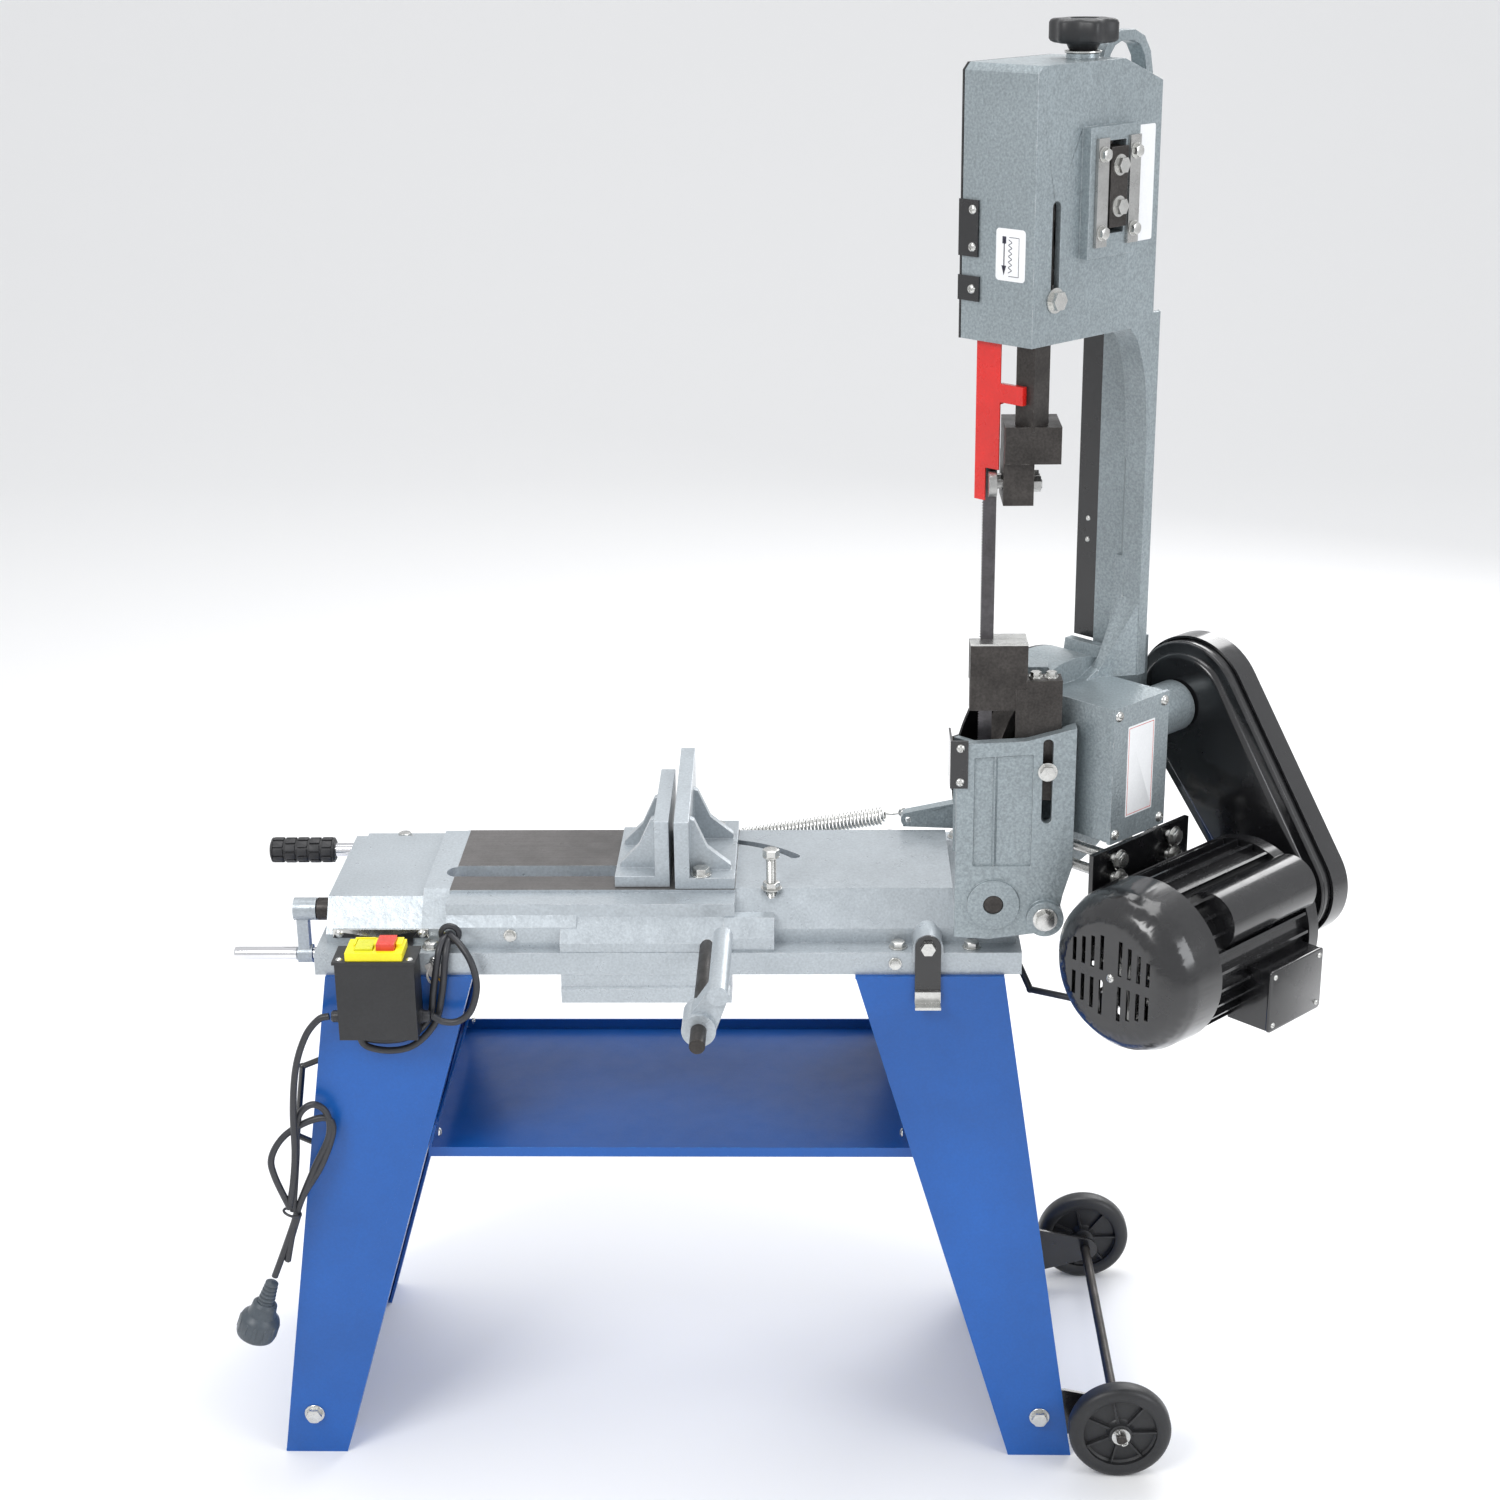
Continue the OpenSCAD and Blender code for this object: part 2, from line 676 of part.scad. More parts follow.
module arm_casting() {
    color("darkgray") difference() {
        union() {
            head_shell();
            tilt() translate([0, 0, 790]) linear_extrude(head_z0 - 780) spine_section();
            lower_shell();
            // Flares of the spine into the head and into the lower housing
            across(30, head_n) polygon([[spine_t + 8, 1118], [26, 1118], [31, 1110], [39, 1102],
                [47, 1084], [53, 1062], [57, 1024], [spine_t, 990], [spine_t + 8, 990]]);
            across(housing_n - 1, 34) polygon([[spine_t + 8, 900], [spine_t, 900], [57, 860], [48, 816],
                [28, 800], [-1, 788], [-1, 780], [spine_t + 8, 780]]);
            hull() {
                across(29, 33) polygon([[22, 790.5], [57.5, 862], [65, 862], [65, 790.5]]);
                across(head_n - 2, head_n - 0.6) polygon([[59, 790.5], [59, 862], [65, 862], [65, 790.5]]);
            }
            // Gearbox
            difference() {
                n_block(-box_t, box_t, housing_n - 7, box_n, box_z0, box_z1);
                n_block(-box_t + wall, box_t - wall, housing_n, box_n + 1, box_z0 + wall, box_z1 - wall);
            }
            // Boss of the drive shaft's inner bush
            n_bar(0, drive_z, housing_n - 1, 38, 20);
            // Near cheek with its frame, boss and bolt ear
            difference() {
                front(-166, -156) polygon([[268, 570], [268, 757], [330, 760], [374, 772], [374, 640],
                    [366, 612], [362, 590], [345, 574], [300, 568]]);
                front(-167, -163.5) polygon([[284, 640], [284, 744], [336, 747], [336, 640]]);
            }
            y_bar(pivot_x, pivot_z, -169, -128, 24);
            y_bar(350, 590, -172, -156, 17);
            front(-158, -150) polygon([[362, 640], [374, 640], [374, 772], [362, 768]]);
            // Far cheek with the spring ear
            front(50, 62) union() {
                translate([pivot_x, pivot_z]) circle(r = 24);
                polygon([[pivot_x - 8, pivot_z + 22], [pivot_x + 14, pivot_z - 20], [415, 640], [430, 640],
                    [430, 700], [385, 700]]);
                polygon([[228, 607], [300, 622], [300, 590], [228, 593]]);
                translate([233, 600]) circle(r = 7);
            }
            // Bridge from the far cheek to the housing
            intersection() {
                n_block(104, 135, -75, 0, 640, 700);
                block([360, -8, 640], [430, 62, 700]);
            }
            // Pad that meets the travel stop bolt when the arm is down
            block([331.6, -112, 800], [352, -84, 812]);
            // Raised pad for the gib plates
            n_block(slide_t - 35, slide_t + 30, head_n - 1, head_n + 9, 1181, 1288);
            // Boss of the tension screw
            tilt() translate([slide_t, -screw_n, head_z1 - 8]) cylinder(r = 14, h = 12);
            // Boss of the worm shaft
            t_bar(worm_n, worm_z, box_t - 2, case_t - 10, 24);
            // Curved carrying handle at the top
            across(3, 19) difference() {
                polygon([[20, 1326], [24, 1344], [32, 1354], [44, 1359], [64, 1359], [78, 1353], [87, 1340],
                    [91, 1322], [92, 1297]]);
                polygon([[29, 1320], [32, 1340], [38, 1347], [46, 1350], [63, 1350], [72, 1346],
                    [79, 1336], [82, 1320], [83, 1296]]);
            }
        }
        // Window of the slide in the head
        n_block(slide_t - 11.4, slide_t + 11.4, head_n - 8, head_n + 10, 1200, 1276);
        // Slot of the guide bar's clamp bolt
        for (z = [1150, guide_slot_top]) n_bar(-75, z, head_n - 10, head_n + 2, 5.2);
        n_block(-80.2, -69.8, head_n - 10, head_n + 2, 1150, guide_slot_top);
        // Slot of the lower guide's bolt
        y_bar(349, 686, -170, -140, 4.5);
        y_bar(349, 757, -170, -140, 4.5);
        block([344.5, -170, 686], [353.5, -140, 757]);
        // Running bores
        y_bar(pivot_x, pivot_z, -180, -120, pin_r + run);
        y_bar(pivot_x, pivot_z, 40, 70, pin_r + run);
        y_bar(233, 600, 40, 70, 3);
        y_bar(350, 590, -180, -140, 5);
        n_bar(0, drive_z, 10, box_n - 10, shaft_r + 4);
        t_bar(worm_n, worm_z, -box_t + 2, 0, worm_shaft_r + run);
        t_bar(worm_n, worm_z, box_t - wall - 1, case_t, worm_shaft_r + 4);
        tilt() translate([slide_t, -screw_n, head_z1 - 30]) cylinder(r = 5 + run, h = 60);
        // Room for the saw blade's return run
        n_block(80, 100, -9, 9, 780, 1120);
        // Opening of the head for the guide bar, the blade and its guard
        n_block(-98, -68, -20, head_n - 5.9, head_z0 - 2, head_z0 + 8);
        // Studs of the motor plate
        for (t = stud_t, z = stud_z) n_bar(t, z, 10, 40, 5);
        // Room for the upper wheel and for the blade round the lower one
        across(rim_n - 30, housing_n - wall - 1) translate([0, drive_z])
            circle(r = housing_r - wall, $fn = 96);
        across(rim_n - 1, head_n - wall) head_outline(wall);
    }
}

// ---- Blade, wheels and their guards ----

module saw_blade() {
    r = wheel_r + 0.02;
    color("dimgray") {
        across(-blade_w / 2, blade_w / 2) difference() {
            union() {
                translate([0, idler_z]) circle(r = r + blade_t, $fn = 96);
                translate([0, drive_z]) circle(r = r + blade_t, $fn = 96);
            }
            translate([0, idler_z]) circle(r = r, $fn = 96);
            translate([0, drive_z]) circle(r = r, $fn = 96);
            translate([-wheel_r - 5, drive_z]) square([2 * wheel_r + 10, idler_z - drive_z]);
        }
        n_block(r, r + blade_t, -blade_w / 2, blade_w / 2, drive_z, idler_z);
        for (z = [drive_z, 1120]) n_block(-r - blade_t, -r, -blade_w / 2, blade_w / 2, z,
            z == drive_z ? 765 : idler_z);
        block([blade_x - blade_w / 2, blade_y - blade_t / 2, 760], [blade_x + blade_w / 2, blade_y + blade_t / 2, 1125]);
    }
}

// Band wheel with a flange on the inner side; its axle runs along n through (0, z)
module band_wheel(z, bore) {
    tilt() translate([0, 0, z]) rotate([90, 0, 0]) difference() {
        union() {
            rotate_extrude($fn = 96) polygon([[wheel_r - 12, -wheel_half], [wheel_r, -wheel_half],
                [wheel_r, wheel_half - 3], [wheel_r, wheel_half], [wheel_r - 12, wheel_half],
                [wheel_r - 14, 4], [26, 4], [24, wheel_half], [6, wheel_half], [6, -wheel_half],
                [24, -wheel_half], [26, -4], [wheel_r - 14, -4]]);
        }
        translate([0, 0, -20]) cylinder(r = bore, h = 40);
        for (a = [0 : 60 : 300]) rotate([0, 0, a]) translate([50, 0, -20]) cylinder(r = 13, h = 40);
    }
}

module idler_wheel() {
    color("gray") band_wheel(idler_z, shaft_r + run);
}

module drive_wheel() {
    color("gray") band_wheel(drive_z, shaft_r);
}

module wheel_cover() {
    color("dimgray") {
        intersection() {
            across(rim_n - 2.4, rim_n - 0.4) head_outline(0);
            right_plane(0, 1000, 1400);
        }
        across(rim_n - 2.4, rim_n - 0.4) union() {
            translate([0, drive_z]) circle(r = housing_r, $fn = 96);
            polygon([[left_t, 700], [left_t, 752], [-60, 752], [-60, 700]]);
        }
        // Tabs that are screwed to the head's left wall
        for (z = [[1183, 1230], [1146, 1167]]) {
            n_block(left_t - 2, left_t - 0.2, rim_n - 2.4, z[0] > 1180 ? -6 : -4, z[0], z[1]);
            n_block(left_t - 2, left_t + 5, rim_n - 2.4, rim_n - 0.4, z[0], z[1]);
        }
        // Tab that is screwed to the near cheek
        block([262, -168, 716], [278, -166.1, 761]);
        block([262, -168, 716], [264, -131, 761]);
    }
}

module return_guard() {
    color("dimgray") difference() {
        union() {
            n_block(66, 67.6, -27, -4, 812, 1112);
            n_block(66, 137, -27.4, -25.8, 812, 1112);
        }
        for (z = [905, 925]) n_bar(72, z, -40, -20, 2);
    }
}

module gearbox_cover() {
    color("darkgray") difference() {
        union() {
            n_block(-box_t - 1, box_t + 1, box_n + 0.1, box_n + 4, box_z0 - 1, box_z1 + 1);
            // Boss of the drive shaft's outer bush
            n_bar(0, drive_z, box_n - 10.5, box_n + 1, 22);
        }
        n_bar(0, drive_z, box_n - 11, box_n - 2, shaft_r + 6);
        for (t = [-box_t + 6, box_t - 6], z = [box_z0 + 7, box_z1 - 7])
            n_bar(t, z, box_n - 5, box_n + 10, 2.6);
    }
}

module arm_screws() {
    color("silver") {
        for (t = [-box_t + 6, box_t - 6], z = [box_z0 + 7, box_z1 - 7])
            tilt() translate([t, -box_n - 4, z]) rotate([90, 0, 0]) pan_head(5);
        for (t = gib_t, z = gib_z)
            tilt() translate([t, -head_n - 12.2, z]) rotate([90, 0, 0]) hex_head(5.5, 4);
        for (z = [1191, 1222, 1156]) tilt() translate([left_t - 2, 12, z]) rotate([0, -90, 0]) pan_head(4);
        for (z = [722, 754]) translate([271, -168, z]) rotate([90, 0, 0]) pan_head(4);
        y_bar(350, 590, -173, -150, 4.95);
        translate([350, -172, 590]) rotate([90, 0, 0]) hex_head(9, 6);
        for (t = stud_t, z = stud_z) {
            n_bar(t, z, 20, plate_n + 16.6, 4.9);
            tilt() translate([t, -housing_n, z]) rotate([90, 0, 0]) cylinder(r = 8, h = 7, $fn = 6);
            tilt() translate([t, -plate_n - 11.2, z]) rotate([90, 0, 0]) cylinder(r = 8, h = 5, $fn = 6);
        }
    }
}

module gib_plates() {
    color("gainsboro") for (t = gib_t) difference() {
        n_block(t - 7, t + 7, head_n + 9.1, head_n + 12, 1190, 1279);
        for (z = gib_z) n_bar(t, z, head_n, head_n + 20, 2.6);
    }
}

// Sliding block that carries the upper wheel's shaft
module idler_slide() {
    color("dimgray") n_block(slide_t - 11.3, slide_t + 11.3, head_n - 10, head_n + 12, 1205, 1271);
    color("silver") {
        n_bar(0, idler_z, -wheel_half - 6, head_n - 9, shaft_r);
        for (z = [1222, 1256])
            tilt() translate([slide_t, -head_n - 12, z]) rotate([90, 0, 0]) hex_head(7, 5);
    }
    color("dimgray") difference() {
        n_block(slide_t - 10.5, slide_t + 10.5, 15, head_n - 9, 1225, 1280);
        tilt() translate([slide_t, -screw_n, 1200]) cylinder(r = 5 + run, h = 100);
    }
}

module tension_knob() {
    knob_r = 30;
    color("dimgray") tilt() translate([slide_t, -screw_n, 0]) {
        translate([0, 0, 1352]) cylinder(r = knob_r - 5, h = 20);
        for (a = [0 : 60 : 300]) rotate([0, 0, a]) translate([knob_r - 10, 0, 1352]) cylinder(r = 10, h = 20);
        translate([0, 0, head_z1 + 4.2]) cylinder(r1 = 15, r2 = 11, h = 9);
    }
    color("silver") tilt() translate([slide_t, -screw_n, 1250]) cylinder(r = 5, h = 110);
}

module upper_guide_bar() {
    color("dimgray") difference() {
        union() {
            n_block(-91, -71, head_n - wall - 20.1, head_n - wall - 0.1, 1040, 1240);
            block([304, -172, 1012], [352, -118, 1044]);
            block([304, -164, 974], [330, -114, 1013]);
        }
        n_bar(-75, 1150, head_n - 40, head_n, 4.5);
        for (y = [-150.4, -127.6]) x_bar(y, 990, 300, 360, 4);
    }
    color("silver") {
        n_bar(-75, 1150, head_n - wall - 20, head_n + 3, 4.4);
        tilt() translate([-75, -head_n - 0.2, 1150]) rotate([90, 0, 0]) hex_head(8.5, 6);
    }
}

module upper_guide_bearings() {
    color("gainsboro") for (y = [-150.4, -127.6]) {
        x_bar(y, 990, y < -139 ? 292 : 293.4, y < -139 ? 299 : 300.4, 11);
        x_bar(y, 990, 299, 338, 4);
        x_bar(y, 990, 330, 337, 7, 6);
    }
}

module blade_guard() {
    color("red") {
        n_block(-96.6, -95.1, -12, 15, 1003, 1112);
        n_block(-96.6, -95.1, -12, 0, 974, 1003.5);
        n_block(-96.6, -91.1, 13, 15, 1060, 1078);
        n_block(-96.6, -91.1, 13, 40, 1062, 1078);
    }
}

module lower_guide() {
    top = 845;
    color("dimgray") difference() {
        union() {
            block([279, -155, top - 60], [330, -141.5, top]);
            block([279, -136.5, top - 36], [330, -131.2, top]);
            block([293, -136.5, top - 36], [330, -123, top]);
            block([302, -155, top - 36], [330, -123, top]);
            block([329, -155.9, top - 52], [361, -135, top - 32]);
            block([320, -155.9, 700], [361, -150, top - 40]);
        }
        y_bar(349, 731, -160, -140, 4);
    }
    color("silver") {
        block([279, -155, top + 0.1], [330, -139.6, top + 2]);
        block([293, -138.4, top + 0.1], [330, -123, top + 2]);
        y_bar(349, 731, -168, -151, 4);
        translate([349, -166.2, 731]) rotate([90, 0, 0]) hex_head(7, 5);
        for (x = [338, 352]) translate([x, -144, top - 32]) hex_head(5, 4);
    }
}

// ---- Drive ----

module drive_shaft() {
    color("silver") n_bar(0, drive_z, -wheel_half - 6, box_n - 2.5, shaft_r);
}

worm_teeth = 30;

module worm_gear() {
    color("peru") difference() {
        union() {
            n_bar(0, drive_z, worm_n - 8, worm_n + 8, 27);
            for (i = [0 : worm_teeth - 1]) tilt() translate([0, -worm_n, drive_z])
                rotate([0, i * 360 / worm_teeth, 0]) translate([-1.5, -8, 26]) cube([3, 16, 4.2]);
        }
        n_bar(0, drive_z, worm_n - 9, worm_n + 9, shaft_r);
    }
}

module worm_shaft() {
    color("silver") {
        t_bar(worm_n, worm_z, -box_t + 2.5, 152, worm_shaft_r);
        for (t = [-22 : 6 : 20]) t_bar(worm_n, worm_z, t, t + 3, 9.4);
    }
}

module worm_pulley() {
    color("gray") difference() {
        step_pulley(worm_n, worm_z, [50, 42, 34]);
        t_bar(worm_n, worm_z, 120, 170, worm_shaft_r);
    }
}

// Three-step pulley for a flat-sided belt; each step has a groove
module step_pulley(n, z, radii) {
    for (i = [0 : 2]) {
        t0 = case_t + 4 + step * i;
        t_bar(n, z, t0, t0 + 1.4, radii[i]);
        t_bar(n, z, t0 + 1, t0 + step - 1, radii[i] - 7);
        t_bar(n, z, t0 + step - 1.4, t0 + step, radii[i]);
    }
}

module shaft_bearings() {
    color("peru") {
        for (n = [[18, 38], [box_n - 10, box_n - 2.5]]) difference() {
            n_bar(0, drive_z, n[0], n[1], shaft_r + (n[0] < 30 ? 4 : 6));
            n_bar(0, drive_z, n[0] - 1, n[1] + 1, shaft_r + run);
        }
        for (t = [44, 98]) difference() {
            t_bar(worm_n, worm_z, t, t + 12, worm_shaft_r + 4);
            t_bar(worm_n, worm_z, t - 1, t + 13, worm_shaft_r + run);
        }
    }
}

module motor_plate() {
    color("dimgray") difference() {
        union() {
            n_block(-50, 90, plate_n, plate_n + 5, 552, 655);
        }
        for (t = stud_t, z = stud_z) n_bar(t, z, plate_n - 2, plate_n + 8, 5);
    }
}

fins = 28;

module motor_housing() {
    color("dimgray") difference() {
        union() {
            t_bar(motor_n, motor_z, -62, 92, motor_r - 7);
            for (i = [0 : fins - 1]) tilt() translate([-60, -motor_n, motor_z])
                rotate([(i + 0.5) * 360 / fins, 0, 0]) translate([0, -1.3, motor_r - 9]) cube([128, 2.6, 9]);
            t_bar(motor_n, motor_z, 70, 84, motor_r);
            t_bar(motor_n, motor_z, 84, 100, motor_r - 12);
            // Feet that stand on the motor plate
            for (z = [554, 588]) n_block(-50, 60, plate_n + 5.1, 126, z, z + 16);
            // Terminal box
            n_block(-14, 62, motor_n + 50, motor_n + 92, motor_z - 56, motor_z);
            // Capacitor cover
            t_bar(motor_n + 46, motor_z + 44, -44, 78, 27);
        }
        t_bar(motor_n, motor_z, -63, 86, motor_r - 14);
        t_bar(motor_n, motor_z, 80, 110, 8 + run);
    }
}

module fan_cowl() {
    color("dimgray") tilt() translate([-62, -motor_n, motor_z]) rotate([0, -90, 0]) difference() {
        rotate_extrude() polygon([[0, 55.5], [0, 58], [49, 58], [61, 53], [70, 43], [74.5, 30], [76, 0],
            [73.5, 0], [72, 29], [68, 42], [59.5, 51], [48, 55.5]]);
        for (y = [-40 : 10 : 40], s = [-1, 1]) if (abs(y) > 6)
            translate([s > 0 ? 5 : -41 + abs(y) * 0.35, y - 2, 50]) cube([36 - abs(y) * 0.35, 4, 20]);
    }
}

module motor_rotor() {
    color("silver") {
        t_bar(motor_n, motor_z, -70, 152, 8);
        t_bar(motor_n, motor_z, -40, 60, 44);
        t_bar(motor_n, motor_z, -100, -72, 7.5);
    }
    color("dimgray") for (a = [0 : 45 : 315]) tilt() translate([-96, -motor_n, motor_z]) rotate([a, 0, 0])
        translate([0, -1.5, 6]) cube([20, 3, 46]);
}

module motor_pulley() {
    color("gray") difference() {
        step_pulley(motor_n, motor_z, [18, 24, 30]);
        t_bar(motor_n, motor_z, 120, 170, 8);
    }
}

// Belt on the middle step of both pulleys
module drive_belt() {
    color("black") along(case_t + 4 + step + 1.6, case_t + 4 + 2 * step - 1.6) difference() {
        belt_outline(44, 26);
        belt_outline(37, 19);
    }
}

// Outline round both pulleys with the given radii
module belt_outline(big, small) {
    hull() {
        translate([worm_n, worm_z]) circle(r = big);
        translate([motor_n, motor_z]) circle(r = small);
    }
}

module case_outline(grow) {
    hull() {
        translate([worm_n + 6, worm_z]) circle(r = 60 + grow, $fn = 64);
        translate([motor_n + 4, motor_z + 16]) circle(r = 50 + grow, $fn = 64);
    }
}

module pulley_case() {
    color("dimgray") difference() {
        union() {
            along(case_t, case_t + 2.5) case_outline(0);
            along(case_t, case_t + 13) difference() {
                case_outline(0);
                case_outline(-2.5);
            }
        }
        t_bar(worm_n, worm_z, 110, 130, 20);
        t_bar(motor_n, motor_z, 110, 130, 20);
        t_bar(motor_n + 6, motor_z, 110, 130, 20);
    }
}

module pulley_lid() {
    color("dimgray") {
        along(case_t + case_depth - 2.5, case_t + case_depth) case_outline(1.6);
        along(case_t + 9, case_t + case_depth - 0.5) difference() {
            case_outline(3.2);
            case_outline(0.8);
        }
    }
}

left_leg();
right_leg();
chip_tray();
stand_bolts();
wheel_axle();
wheel_brackets();
near_wheel();
far_wheel();
cable_hook();
bed();
hinge_pin();
travel_stop_bolt();
latch_strap();
lift_handle();
lift_grip();
counter_spring();
switch_box();
switch_body();
start_button();
stop_button();
mains_cable();
mains_plug();
motor_cable();
vise_screw();
vise_crank();
crank_handle();
movable_jaw();
vise_nut();
fixed_jaw();
fixed_jaw_bolts();
stop_rod();
stop_arm();
arm_casting();
saw_blade();
wheel_cover();
return_guard();
gearbox_cover();
arm_screws();
gib_plates();
idler_slide();
idler_wheel();
tension_knob();
upper_guide_bar();
upper_guide_bearings();
blade_guard();
lower_guide();
drive_wheel();
drive_shaft();
worm_gear();
worm_shaft();
worm_pulley();
shaft_bearings();
motor_plate();
motor_housing();
fan_cowl();
motor_rotor();
motor_pulley();
drive_belt();
pulley_case();
pulley_lid();
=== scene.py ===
"""Visual model of a horizontal metal-cutting band saw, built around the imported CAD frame.

CAD nodes keep their shapes and get rounded edges and procedural finishes. Pieces whose CAD solid is
plain (wheels, grip, spring, cables, plug, blade, knob, screws) are modelled here in full.
Lengths in the helper calls are millimetres; the scene itself is in metres.
"""

import json
import math

import bpy
from mathutils import Matrix, Vector


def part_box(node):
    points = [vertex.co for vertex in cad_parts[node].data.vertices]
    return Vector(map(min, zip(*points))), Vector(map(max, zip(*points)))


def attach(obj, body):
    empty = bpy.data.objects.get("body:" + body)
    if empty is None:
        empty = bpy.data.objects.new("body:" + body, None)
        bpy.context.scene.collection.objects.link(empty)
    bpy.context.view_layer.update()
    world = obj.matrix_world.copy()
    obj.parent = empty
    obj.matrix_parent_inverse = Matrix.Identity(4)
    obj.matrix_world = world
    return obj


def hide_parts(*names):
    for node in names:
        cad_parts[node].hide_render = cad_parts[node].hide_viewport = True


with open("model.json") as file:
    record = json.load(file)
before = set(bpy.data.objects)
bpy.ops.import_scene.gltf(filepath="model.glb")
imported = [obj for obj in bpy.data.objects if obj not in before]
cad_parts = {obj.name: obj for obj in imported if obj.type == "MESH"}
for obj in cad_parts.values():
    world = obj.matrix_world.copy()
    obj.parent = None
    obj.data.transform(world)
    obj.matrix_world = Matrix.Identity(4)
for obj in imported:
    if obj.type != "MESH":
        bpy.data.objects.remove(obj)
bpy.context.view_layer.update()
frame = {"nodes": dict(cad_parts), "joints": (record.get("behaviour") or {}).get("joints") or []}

MM = 0.001
TURN = 2 * math.pi
X, Y, Z = Vector((1, 0, 0)), Vector((0, 1, 0)), Vector((0, 0, 1))
ACROSS = (X + Y).normalized()        # across the band wheels
AXLE = (X - Y).normalized()          # along the band wheels' axles, towards the operator
JOINTS = {j["name"]: j for j in frame["joints"]}


def joint_at(name):
    return Vector(JOINTS[name]["pos_m"])


DRIVE = joint_at("drive_wheel_spin")
IDLER = joint_at("idler_wheel_spin")
WHEEL_R = 90


def wheel_point(t, n, z):
    """A point given across the wheels, along their axle and above the floor, in millimetres."""
    return Vector((DRIVE.x, DRIVE.y, 0)) + (ACROSS * t + AXLE * n + Z * z) * MM


def mm(*values):
    return Vector(values) * MM


def basis(origin, along, aside=None):
    """Matrix of a local frame at origin whose Z is along and whose X leans towards aside."""
    z = along.normalized()
    if aside is None:
        aside = X if abs(z.x) < 0.9 else Y
    x = (aside - z * aside.dot(z)).normalized()
    turned = Matrix((x, z.cross(x), z)).transposed().to_4x4()
    turned.translation = origin
    return turned


# ---- Materials ----

def add(tree, kind, inputs=None, **settings):
    made = tree.nodes.new("ShaderNode" + kind)
    for key, value in settings.items():
        setattr(made, key, value)
    for key, value in (inputs or {}).items():
        if isinstance(value, bpy.types.NodeSocket):
            tree.links.new(value, made.inputs[key])
        else:
            made.inputs[key].default_value = value
    return made


def ramp(tree, value, low, high, to_low=0.0, to_high=1.0):
    made = add(tree, "MapRange", {"Value": value, "From Min": low, "From Max": high,
                                  "To Min": to_low, "To Max": to_high})
    return made.outputs["Result"]


def blend_color(tree, share, first, second):
    made = add(tree, "Mix", data_type="RGBA")
    for socket, value in ((0, share), (6, first), (7, second)):
        if isinstance(value, bpy.types.NodeSocket):
            tree.links.new(value, made.inputs[socket])
        else:
            made.inputs[socket].default_value = value if socket == 0 else (*value, 1)
    return made.outputs[2]


def noise(tree, place, size_mm, detail=4.0, rough=0.55):
    made = add(tree, "TexNoise", {"Vector": place, "Scale": 1 / (size_mm * MM), "Detail": detail,
                                  "Roughness": rough})
    return made.outputs["Fac"]


